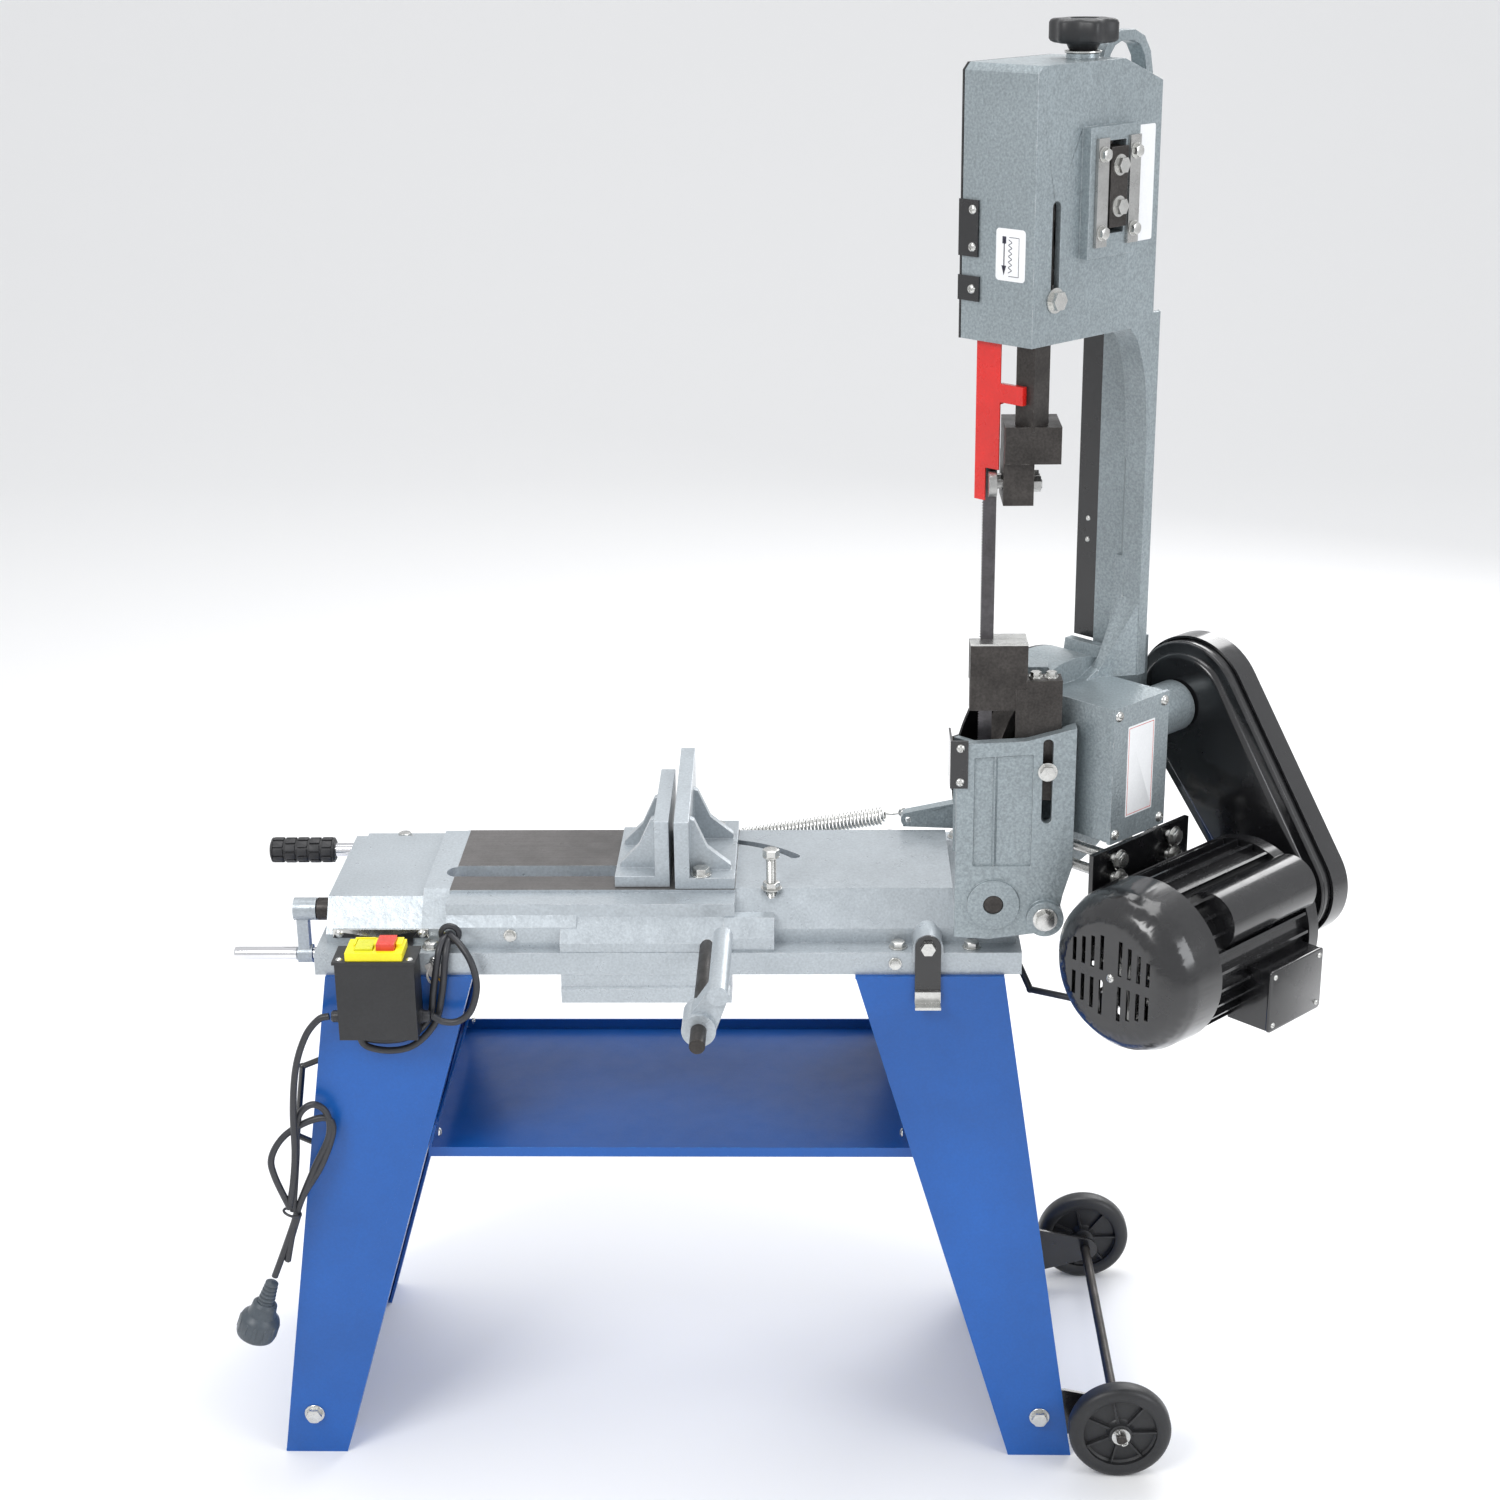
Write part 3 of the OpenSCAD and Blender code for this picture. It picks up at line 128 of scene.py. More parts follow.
def finish(name, color, metallic=0.0, rough=(0.3, 0.45), tone=0.12, tone_mm=90, speck=0.05,
           grain=(), brushed=None, coat=0.0, wear_and_edge_highlight=None, dust_and_sheen=None, cells=None):
    """One procedural finish.

    tone and speck are shares of broad and fine colour change; grain is (size, depth) pairs in mm of the
    surface's bumps; brushed is the direction of fine machining lines; wear_and_edge_highlight is the
    lighter colour painted along sharp edges, partly as wear and partly as a painted highlight;
    dust_and_sheen is the colour blended onto faces that look up, partly as dust and partly as a painted
    sheen of the sky's reflection;
    cells is (size, depth) in mm of a hammered pattern.
    """
    made = bpy.data.materials.new(name)
    made.use_nodes = True
    tree = made.node_tree
    shader = tree.nodes["Principled BSDF"]
    place = add(tree, "TexCoord").outputs["Object"]
    broad = noise(tree, place, tone_mm)
    fine = noise(tree, place, 2.2, 3.0)
    dark = tuple(c * (1 - tone) for c in color)
    light = tuple(min(1, c * (1 + tone)) for c in color)
    base = blend_color(tree, ramp(tree, broad, 0.3, 0.7), dark, light)
    flecks = ramp(tree, fine, 0.35, 0.7, 1 - speck, 1 + speck)
    shaded = add(tree, "VectorMath", {0: base, "Scale": flecks}, operation="SCALE").outputs[0]
    roughness = ramp(tree, noise(tree, place, 18, 5.0), 0.3, 0.7, *rough)
    normal = None
    if cells:
        size, depth = cells
        pattern = add(tree, "TexVoronoi", {"Vector": place, "Scale": 1 / (size * MM), "Randomness": 1.0},
                      feature="SMOOTH_F1").outputs["Distance"]
        normal = add(tree, "Bump", {"Height": pattern, "Distance": depth * MM}).outputs[0]
    for size, depth in grain:
        links = {"Height": noise(tree, place, size, 3.0), "Distance": depth * MM}
        if normal:
            links["Normal"] = normal
        normal = add(tree, "Bump", links).outputs[0]
    if brushed:
        squeeze = [4.0 if abs(c) > 0.5 else 900.0 for c in brushed]
        lined = add(tree, "Mapping", {"Vector": place, "Scale": squeeze}).outputs[0]
        lines = add(tree, "TexNoise", {"Vector": lined, "Scale": 1.0, "Detail": 3.0}).outputs["Fac"]
        links = {"Height": lines, "Distance": 0.01 * MM}
        if normal:
            links["Normal"] = normal
        normal = add(tree, "Bump", links).outputs[0]
        roughness = add(tree, "Math", {0: roughness, 1: ramp(tree, lines, 0.3, 0.7, -0.06, 0.1)}).outputs[0]
    true_normal = add(tree, "NewGeometry").outputs["Normal"]
    # Edges get a lighter colour through a noise mask: a painted highlight along the edges, partly also
    # wear.
    if wear_and_edge_highlight:
        rounded = add(tree, "Bevel", {"Radius": 0.9 * MM}, samples=4).outputs[0]
        bend = add(tree, "VectorMath", {0: rounded, 1: true_normal},
                   operation="DOT_PRODUCT").outputs["Value"]
        edge = ramp(tree, bend, 0.97, 0.86)
        edge_highlight_and_wear_mask = add(tree, "Math", {0: edge, 1: ramp(tree, noise(tree, place, 9, 5.0), 0.48, 0.6)},
                   operation="MULTIPLY").outputs[0]
        shaded = blend_color(tree, edge_highlight_and_wear_mask, shaded, wear_and_edge_highlight)
    # Faces that look up blend towards a lighter colour: a painted sheen of the sky's reflection, partly
    # also dust.
    if dust_and_sheen:
        up = add(tree, "SeparateXYZ", {0: true_normal}).outputs["Z"]
        upward_dust_and_sheen_mask = add(tree, "Math", {0: ramp(tree, up, 0.5, 1.0, 0, 0.22), 1: ramp(tree, fine, 0.3, 0.6)},
                    operation="MULTIPLY").outputs[0]
        shaded = blend_color(tree, upward_dust_and_sheen_mask, shaded, dust_and_sheen)
    tree.links.new(shaded, shader.inputs["Base Color"])
    tree.links.new(roughness, shader.inputs["Roughness"])
    if normal:
        tree.links.new(normal, shader.inputs["Normal"])
    shader.inputs["Metallic"].default_value = metallic
    shader.inputs["Coat Weight"].default_value = coat
    shader.inputs["Coat Roughness"].default_value = 0.12
    return made


# Each edge colour below is a painted edge highlight as well as wear.
LOOKS = {
    "arm_casting": finish("hammered_grey_paint", (0.29, 0.335, 0.355), 0.45, (0.3, 0.44), 0.08, 120, 0.18,
                          grain=((5, 0.25), (1.3, 0.1)), cells=(2.6, 0.22), coat=0.15,
                          wear_and_edge_highlight=(0.6, 0.62, 0.63)),
    "bed_casting": finish("smooth_grey_paint", (0.42, 0.46, 0.49), 0.4, (0.26, 0.4), 0.08, 140, 0.1,
                          grain=((9, 0.4), (1.6, 0.08)), coat=0.15, wear_and_edge_highlight=(0.68, 0.69, 0.70)),
    "blue_paint": finish("blue_powder_coat", (0.0015, 0.085, 0.36), 0.0, (0.3, 0.42), 0.14, 160, 0.05,
                         grain=((1.6, 0.02), (40, 0.1)), coat=0.1, wear_and_edge_highlight=(0.02, 0.2, 0.58)),
    # Black paint, black plastic and rubber grip lighten on upward faces: a painted sheen as well as dust.
    "black_paint": finish("gloss_black_paint", (0.008, 0.008, 0.009), 0.0, (0.16, 0.3), 0.25, 60, 0.2,
                          grain=((3, 0.03), (20, 0.1)), coat=0.6, wear_and_edge_highlight=(0.07, 0.07, 0.075),
                          dust_and_sheen=(0.035, 0.035, 0.037)),
    "black_plastic": finish("moulded_black_plastic", (0.016, 0.0165, 0.018), 0.0, (0.36, 0.5), 0.12, 40,
                            0.12, grain=((0.8, 0.04),), wear_and_edge_highlight=(0.07, 0.07, 0.075),
                            dust_and_sheen=(0.035, 0.035, 0.035)),
    "zinc_steel": finish("bright_zinc", (0.62, 0.62, 0.60), 0.95, (0.2, 0.36), 0.1, 14, 0.06,
                         grain=((2.5, 0.03),)),
    "dark_steel": finish("oiled_dark_steel", (0.055, 0.050, 0.047), 0.7, (0.34, 0.52), 0.25, 25, 0.2,
                         grain=((3, 0.06), (0.7, 0.02)), wear_and_edge_highlight=(0.2, 0.19, 0.18)),
    "chrome": finish("chrome_plate", (0.80, 0.80, 0.82), 1.0, (0.06, 0.16), 0.05, 30, 0.02,
                     grain=((12, 0.02),)),
    "rubber_grip": finish("moulded_rubber", (0.018, 0.018, 0.02), 0.0, (0.42, 0.6), 0.2, 20, 0.15,
                          grain=((1.2, 0.05),), dust_and_sheen=(0.09, 0.09, 0.09)),
    "cable_rubber": finish("cable_jacket", (0.03, 0.031, 0.036), 0.0, (0.3, 0.45), 0.15, 30, 0.1,
                           grain=((1.5, 0.02),)),
    "plug_plastic": finish("plug_plastic", (0.06, 0.075, 0.09), 0.0, (0.32, 0.45), 0.1, 12, 0.08,
                           grain=((1.0, 0.03),), wear_and_edge_highlight=(0.14, 0.16, 0.18)),
    "red_paint": finish("gloss_red_paint", (0.62, 0.012, 0.008), 0.0, (0.22, 0.36), 0.1, 40, 0.05,
                        grain=((4, 0.04),), coat=0.4, wear_and_edge_highlight=(0.75, 0.12, 0.08)),
    "yellow_plastic": finish("yellow_plastic", (0.86, 0.74, 0.01), 0.0, (0.28, 0.4), 0.04, 20, 0.03,
                             grain=((1.0, 0.02),)),
    "green_plastic": finish("green_plastic", (0.62, 0.62, 0.03), 0.0, (0.25, 0.35), 0.08, 10, 0.03,
                            grain=((1.0, 0.02),)),
    "red_plastic": finish("red_plastic", (0.62, 0.05, 0.03), 0.0, (0.2, 0.35), 0.08, 10, 0.03,
                          grain=((1.0, 0.02),)),
    "bronze": finish("bronze", (0.50, 0.33, 0.14), 0.95, (0.25, 0.4), 0.12, 20, 0.05, grain=((2, 0.03),)),
    "pulley_alloy": finish("turned_alloy", (0.60, 0.61, 0.62), 0.95, (0.25, 0.38), 0.08, 25, 0.05,
                           grain=((2, 0.03),)),
    "blade_steel": finish("blade_steel", (0.10, 0.095, 0.10), 0.85, (0.25, 0.42), 0.25, 20, 0.1,
                          brushed=(0, 0, 1)),
    "table": finish("machined_table", (0.125, 0.118, 0.115), 0.45, (0.3, 0.46), 0.22, 70, 0.1,
                    grain=((30, 0.05),), brushed=(1, 0, 0), wear_and_edge_highlight=(0.4, 0.39, 0.37)),
    "bright_machined": finish("bright_machined", (0.45, 0.45, 0.44), 0.9, (0.25, 0.4), 0.1, 30, 0.06,
                              brushed=(0, 1, 0)),
    "label": finish("blank_label", (0.80, 0.81, 0.82), 0.0, (0.3, 0.42), 0.03, 30, 0.02,
                    grain=((3, 0.02),), coat=0.3),
    "label_ink": finish("label_ink", (0.03, 0.03, 0.05), 0.0, (0.35, 0.5), 0.1, 10, 0.05),
    "brass": finish("brass_screw", (0.50, 0.42, 0.10), 0.9, (0.3, 0.45), 0.15, 5, 0.08),
    "white_tag": finish("white_tag", (0.72, 0.70, 0.68), 0.0, (0.5, 0.7), 0.06, 8, 0.04),
    "orange_wire": finish("orange_wire", (0.75, 0.42, 0.05), 0.0, (0.4, 0.5), 0.1, 6, 0.04),
}


# ---- Mesh building ----

class Shape:
    """Collects vertices and faces of one piece, in metres, with a material number for each part."""

    def __init__(self):
        self.points, self.faces, self.marks = [], [], []

    def put(self, part, place=None, mark=0):
        points, faces = part
        first = len(self.points)
        for p in points:
            p = Vector(p) * MM
            self.points.append(place @ p if place else p)
        for f in faces:
            self.faces.append([i + first for i in f])
            self.marks.append(mark)
        return self

    def build(self, name, body, looks, replaces=(), bevel=0.0, smooth=35):
        mesh = bpy.data.meshes.new(name)
        mesh.from_pydata(self.points, [], self.faces)
        for look in looks:
            mesh.materials.append(LOOKS[look])
        mesh.polygons.foreach_set("material_index", self.marks)
        mesh.validate()
        made = bpy.data.objects.new(name, mesh)
        bpy.context.scene.collection.objects.link(made)
        fix_normals(mesh)
        mesh.shade_smooth()
        if bevel:
            round_edges(made, bevel)
        mesh.set_sharp_from_angle(angle=math.radians(smooth))
        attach(made, body)
        if replaces:
            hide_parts(*replaces)
        return made


def fix_normals(mesh):
    import bmesh
    work = bmesh.new()
    work.from_mesh(mesh)
    bmesh.ops.recalc_face_normals(work, faces=work.faces)
    work.to_mesh(mesh)
    work.free()


def round_edges(obj, width, segments=2, angle=35):
    mod = obj.modifiers.new("round", "BEVEL")
    mod.width = width * MM
    mod.segments = segments
    mod.limit_method = "ANGLE"
    mod.angle_limit = math.radians(angle)
    mod.miter_outer = "MITER_ARC"
    mod.harden_normals = True
    return mod


def lathe(profile, steps=48):
    """Solid turned about Z from (radius, height) points; a profile that leaves the axis is a ring."""
    solid = profile[0][0] == 0 or profile[-1][0] == 0
    points, faces, rows = [], [], []
    for radius, height in profile:
        if radius == 0:
            rows.append([len(points)] * steps)
            points.append((0, 0, height))
        else:
            rows.append([len(points) + i for i in range(steps)])
            for i in range(steps):
                a = TURN * i / steps
                points.append((radius * math.cos(a), radius * math.sin(a), height))
    pairs = list(zip(rows, rows[1:]))
    if not solid:
        pairs.append((rows[-1], rows[0]))
    for low, high in pairs:
        for i in range(steps):
            j = (i + 1) % steps
            ring = [low[i], low[j], high[j], high[i]]
            ring = [v for k, v in enumerate(ring) if v not in ring[:k]]
            if len(ring) > 2:
                faces.append(ring)
    return points, faces


def rod(radius, length, chamfer=0.6, steps=32):
    c = chamfer
    return lathe([(0, 0), (radius - c, 0), (radius, c), (radius, length - c), (radius - c, length),
                  (0, length)], steps)


def threaded(radius, length, pitch=1.5, steps=24):
    """Rod with thread crests along it."""
    profile = [(0, 0), (radius - 0.5, 0)]
    for i in range(int(length / pitch)):
        profile += [(radius, (i + 0.35) * pitch), (radius - 0.55, (i + 0.9) * pitch)]
    return lathe(profile + [(radius - 0.6, length), (0, length)], steps)


def hex_part(radius, height, washer=1.25, steps=48):
    """Hexagon head with chamfered corners on a washer, standing on z = 0."""
    flat = radius * math.cos(math.pi / 6)
    top = flat * 0.94
    rings = [[], [], []]
    for i in range(steps):
        a = TURN * i / steps
        side = (a % (math.pi / 3)) - math.pi / 6
        r = flat / math.cos(side)
        for ring, rr, h in zip(rings, (r, r, top), (1.0, 1.0 + height - (r - top) * 0.577, 1.0 + height)):
            ring.append((rr * math.cos(a), rr * math.sin(a), h))
    points = [p for ring in rings for p in ring] + [(0, 0, 1.0), (0, 0, 1.0 + height)]
    faces = []
    for i in range(steps):
        j = (i + 1) % steps
        for k in (0, 1):
            faces.append([k * steps + i, k * steps + j, (k + 1) * steps + j, (k + 1) * steps + i])
        faces.append([i, j, 3 * steps])
        faces.append([2 * steps + i, 2 * steps + j, 3 * steps + 1])
    w_points, w_faces = lathe([(0, 0), (radius * washer - 0.3, 0), (radius * washer, 0.3),
                               (radius * washer, 0.9), (radius * washer - 0.3, 1.2), (0, 1.2)], 32)
    first = len(points)
    return points + w_points, faces + [[i + first for i in f] for f in w_faces]


def pan_part(radius, cross=True):
    """Domed screw head with a cross recess, standing on z = 0."""
    height, arm, reach = radius * 0.56, radius * 0.14, radius * 0.6
    rings, steps = 18, 48
    points = [(0, 0, height - (radius * 0.3 if cross else 0))]
    faces = []
    for k in range(1, rings + 1):
        r = radius * k / rings
        for i in range(steps):
            a = TURN * i / steps
            x, y = r * math.cos(a), r * math.sin(a)
            h = height * (1 - (r / radius) ** 2.6) ** 0.6 if k < rings else 0
            if cross and min(abs(x), abs(y)) < arm and r < reach:
                h = min(h, height * 0.55)
            points.append((x, y, h))
    for i in range(steps):
        faces.append([0, 1 + i, 1 + (i + 1) % steps])
    for k in range(rings - 1):
        for i in range(steps):
            j = (i + 1) % steps
            a, b = 1 + k * steps, 1 + (k + 1) * steps
            faces.append([a + i, b + i, b + j, a + j])
    faces.append([1 + (rings - 1) * steps + i for i in range(steps)])
    return points, faces


def ring_stack(outlines):
    """Skin over closed outlines with equal point counts, capped at both ends."""
    points = [p for outline in outlines for p in outline]
    count = len(outlines[0])
    last = (len(outlines) - 1) * count
    faces = []
    for first in range(0, last, count):
        for i in range(count):
            j = (i + 1) % count
            faces.append([first + i, first + j, first + count + j, first + count + i])
    faces.append(list(range(count))[::-1])
    faces.append([last + i for i in range(count)])
    return points, faces


def sweep(path, radius, sides=12):
    """Round wire through points in millimetres, with closed ends."""
    path = [Vector(p) for p in path]
    rings = []
    normal = None
    for i, p in enumerate(path):
        ahead = (path[min(i + 1, len(path) - 1)] - path[max(i - 1, 0)]).normalized()
        if normal is None:
            normal = ahead.orthogonal().normalized()
        normal = (normal - ahead * normal.dot(ahead)).normalized()
        other = ahead.cross(normal)
        angles = [TURN * k / sides for k in range(sides)]
        rings.append([p + (normal * math.cos(a) + other * math.sin(a)) * radius for a in angles])
    return ring_stack(rings)


def curve_through(anchors, steps=10):
    """Smooth path through the anchor points."""
    pts = [Vector(a) for a in anchors]
    pts = [pts[0] * 2 - pts[1]] + pts + [pts[-1] * 2 - pts[-2]]
    path = []
    for a, b, c, d in zip(pts, pts[1:], pts[2:], pts[3:]):
        for i in range(steps):
            t = i / steps
            path.append(0.5 * (b * 2 + (c - a) * t + (a * 2 - b * 5 + c * 4 - d) * t * t
                               + (b * 3 - a - c * 3 + d) * t ** 3))
    return path + [pts[-2]]


def prism(outline, height, edge=0.0):
    """Upright solid on a convex or gently curved outline, with its top and bottom edges rounded."""
    count = len(outline)
    centre = Vector((sum(p[0] for p in outline) / count, sum(p[1] for p in outline) / count))
    levels = [(0, 0), (0, height)]
    if edge:
        levels = [(edge, 0), (edge * 0.3, edge * 0.3), (0, edge), (0, height - edge),
                  (edge * 0.3, height - edge * 0.3), (edge, height)]
    points, faces = [], []
    for inset, h in levels:
        for p in outline:
            away = Vector(p) - centre
            q = centre + away * (1 - inset / away.length)
            points.append((q.x, q.y, h))
    for k in range(len(levels) - 1):
        for i in range(count):
            j = (i + 1) % count
            faces.append([k * count + i, k * count + j, (k + 1) * count + j, (k + 1) * count + i])
    faces.append(list(range(count))[::-1])
    faces.append([(len(levels) - 1) * count + i for i in range(count)])
    return points, faces


def rounded_rect(width, height, radius, steps=6):
    outline = []
    for cx, cy, start in ((1, 1, 0), (-1, 1, 1), (-1, -1, 2), (1, -1, 3)):
        for i in range(steps + 1):
            a = (start + i / steps) * math.pi / 2
            outline.append((cx * (width / 2 - radius) + radius * math.cos(a),
                            cy * (height / 2 - radius) + radius * math.sin(a)))
    return outline


def slab(width, height, thick, corner, edge):
    """Rounded plate centred on the origin, its back on z = 0."""
    return prism(rounded_rect(width, height, corner), thick, edge)


# ---- CAD nodes ----

# Its shortest edges would otherwise hold the rounding back on all the others.
FULLY_ROUNDED = ("arm_casting",)
# Merging their flat triangles would make faces that overlap or shade wrongly.
KEEPS_TRIANGLES = ("arm_casting", "switch_body", "worm_gear")
CREASE_ANGLE = math.radians(50)
CAD_EDGE_ANGLE = 32                  # sharper CAD edges than this, in degrees, are rounded


def even_shading(obj):
    """Splits what the rounding left sharp and keeps the shading of large faces flat."""
    split = obj.modifiers.new("split", "EDGE_SPLIT")
    split.split_angle = CREASE_ANGLE
    split.use_edge_sharp = False
    obj.modifiers.new("even", "WEIGHTED_NORMAL").keep_sharp = False


def dress(node, look, edge):
    """Gives a CAD node its finish and rounds its edges; the node's own mesh stays as it is."""
    obj = frame["nodes"][node]
    obj.data.materials.clear()
    obj.data.materials.append(LOOKS[look])
    obj.data.polygons.foreach_set("material_index", [0] * len(obj.data.polygons))
    weld = obj.modifiers.new("weld", "WELD")
    weld.merge_threshold = 0.01 * MM
    if edge:
        if node not in KEEPS_TRIANGLES:
            flat = obj.modifiers.new("flat", "DECIMATE")
            flat.decimate_type = "DISSOLVE"
            flat.angle_limit = math.radians(0.5)
            flat.delimit = {"NORMAL", "MATERIAL"}
        rounding = round_edges(obj, edge, angle=CAD_EDGE_ANGLE)
        rounding.harden_normals = False
        rounding.use_clamp_overlap = node not in FULLY_ROUNDED
        even_shading(obj)
    else:
        obj.modifiers.new("shade", "WEIGHTED_NORMAL").keep_sharp = True
    return obj


def mark_faces(node, look, choose):
    """Gives a second finish to the CAD faces whose centre and normal the rule picks."""
    mesh = frame["nodes"][node].data
    mesh.materials.append(LOOKS[look])
    number = len(mesh.materials) - 1
    for face in mesh.polygons:
        if choose(face.center / MM, face.normal):
            face.material_index = number


def across_height(point_mm):
    """How far along the wheels' axles a point in millimetres lies."""
    return (point_mm * MM - Vector((DRIVE.x, DRIVE.y, 0))).dot(AXLE) / MM


CAD_LOOKS = {
    "left_leg": ("blue_paint", 1.6), "right_leg": ("blue_paint", 1.6), "chip_tray": ("blue_paint", 0.8),
    "stand_bolts": ("zinc_steel", 0.5), "wheel_axle": ("dark_steel", 0.5),
    "wheel_brackets": ("black_paint", 0.8), "near_wheel": ("black_plastic", 0.8),
    "far_wheel": ("black_plastic", 0.8), "cable_hook": ("black_paint", 0),
    "bed": ("bed_casting", 2.2), "hinge_pin": ("dark_steel", 1.0), "travel_stop_bolt": ("zinc_steel", 0.5),
    "latch_strap": ("black_paint", 0.6), "lift_handle": ("chrome", 0.8), "lift_grip": ("rubber_grip", 0.8),
    "counter_spring": ("zinc_steel", 0.3), "switch_box": ("black_plastic", 1.2),
    "switch_body": ("yellow_plastic", 1.0), "start_button": ("green_plastic", 0.8),
    "stop_button": ("red_plastic", 0.8), "mains_cable": ("cable_rubber", 0),
    "mains_plug": ("plug_plastic", 1.5), "motor_cable": ("cable_rubber", 0),
    "vise_screw": ("dark_steel", 0.6), "vise_crank": ("bed_casting", 1.2), "crank_handle": ("chrome", 1.0),
    "movable_jaw": ("bed_casting", 1.5), "vise_nut": ("zinc_steel", 0.5), "fixed_jaw": ("bed_casting", 1.5),
    "fixed_jaw_bolts": ("zinc_steel", 0.5), "stop_rod": ("dark_steel", 1.0),
    "stop_arm": ("bed_casting", 1.5), "arm_casting": ("arm_casting", 0.6), "saw_blade": ("blade_steel", 0),
    "wheel_cover": ("black_paint", 0.5), "return_guard": ("black_paint", 0.4),
    "gearbox_cover": ("arm_casting", 1.4), "arm_screws": ("zinc_steel", 0.4),
    "gib_plates": ("bright_machined", 0.6), "idler_slide": ("dark_steel", 0.6),
    "idler_wheel": ("dark_steel", 0.8), "tension_knob": ("black_plastic", 1.2),
    "upper_guide_bar": ("dark_steel", 1.0), "upper_guide_bearings": ("bright_machined", 0.6),
    "blade_guard": ("red_paint", 0.4), "lower_guide": ("dark_steel", 0.8),
    "drive_wheel": ("dark_steel", 0.8), "drive_shaft": ("zinc_steel", 0.6), "worm_gear": ("bronze", 0.3),
    "worm_shaft": ("zinc_steel", 0.4), "worm_pulley": ("pulley_alloy", 0.5),
    "shaft_bearings": ("bronze", 0.4), "motor_plate": ("black_paint", 1.2),
    "motor_housing": ("black_paint", 0.8), "fan_cowl": ("black_paint", 0.8),
    "motor_rotor": ("zinc_steel", 0.5), "motor_pulley": ("pulley_alloy", 0.5),
    "drive_belt": ("rubber_grip", 0.5), "pulley_case": ("black_paint", 1.2),
    "pulley_lid": ("black_paint", 2.0),
}


def dress_all():
    for node, (look, edge) in CAD_LOOKS.items():
        dress(node, look, edge)
    table_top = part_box("fixed_jaw")[0].z / MM
    mark_faces("bed", "table", lambda c, n: n.z > 0.9 and c.z > table_top - 0.3)
    guide_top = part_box("lower_guide")[1].z / MM
    mark_faces("lower_guide", "zinc_steel",
               lambda c, n: c.z > guide_top - 2 or c.y < -156.5 or guide_top - 34 < c.z < guide_top - 27)
    mark_faces("latch_strap", "zinc_steel", lambda c, n: c.y < -158.3)
    mark_faces("switch_box", "zinc_steel",
               lambda c, n: c.z > 557.1 or (c.y < -130.1 and c.z > 553.7 and (c.x > -232 or c.x < -300)
                                            and abs(c.y + 132) < 3))
    mark_faces("idler_slide", "zinc_steel", lambda c, n: across_height(c) > 66.05)
    mark_faces("upper_guide_bar", "zinc_steel", lambda c, n: across_height(c) > 54.1 and 1135 < c.z < 1165)


# ---- Stand pieces ----

def islands(node):
    """Boxes of the separate solids in a CAD node, in millimetres: (lowest, highest) corners."""
    mesh = frame["nodes"][node].data
    keys, owner = {}, {}

    def top(a):
        while owner[a] != a:
            a = owner[a]
        return a

    spots = [tuple(round(c / MM, 2) for c in v.co) for v in mesh.vertices]
    for spot in spots:
        keys.setdefault(spot, len(keys))
    for number in keys.values():
        owner[number] = number
    for face in mesh.polygons:
        first = top(keys[spots[face.vertices[0]]])
        for v in face.vertices[1:]:
            owner[top(keys[spots[v]])] = first
    groups = {}
    for spot, number in keys.items():
        groups.setdefault(top(number), []).append(spot)
    boxes = []
    for group in groups.values():
        low = Vector([min(p[i] for p in group) for i in range(3)])
        high = Vector([max(p[i] for p in group) for i in range(3)])
        boxes.append((low, high))
    return sorted(boxes, key=lambda b: tuple(round(c, 1) for c in b[0]))


def build_cart_wheels():
    for side, facing in (("near", -1), ("far", 1)):
        node = side + "_wheel"
        low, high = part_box(node)
        r = (high.z - low.z) / 2 / MM
        place = basis(joint_at(node + "_spin"), Y * facing, X)
        shape = Shape()
        tyre = [(r - 14, -9), (r - 11.5, -10.4), (r - 8, -11), (r - 4, -10.2), (r - 1.2, -8), (r, -5),
                (r, 5), (r - 1.2, 8), (r - 4, 10.2), (r - 8, 11), (r - 11.5, 10.4), (r - 14, 9)]
        shape.put(lathe(tyre, 72), place)
        disc = [(5.05, -11.9), (9, -11.9), (11, -11), (12, -6), (14, -4), (r - 16, -3), (r - 13.5, -5),
                (r - 13.5, 5), (r - 16, 3), (14, 4), (12, 6), (11, 11), (9, 11.9), (5.05, 11.9)]
        shape.put(lathe(disc, 72), place)
        ribs = 7
        for i in range(ribs):
            turned = place @ Matrix.Rotation(TURN * i / ribs, 4, "Z")
            for face in (1, -1):
                rib = ([(10, -1.8, 0), (r - 13, -1.3, 0), (r - 13, 1.3, 0), (10, 1.8, 0),
                        (10, -1.0, 8 * face), (r - 13, -0.7, 7 * face), (r - 13, 0.7, 7 * face),
                        (10, 1.0, 8 * face)],
                       [[0, 1, 2, 3], [4, 5, 6, 7], [0, 1, 5, 4], [1, 2, 6, 5], [2, 3, 7, 6], [3, 0, 4, 7]])
                shape.put(rib, turned)
        piece = shape.build("cart_wheel_" + side, node, ["black_plastic"], [node])


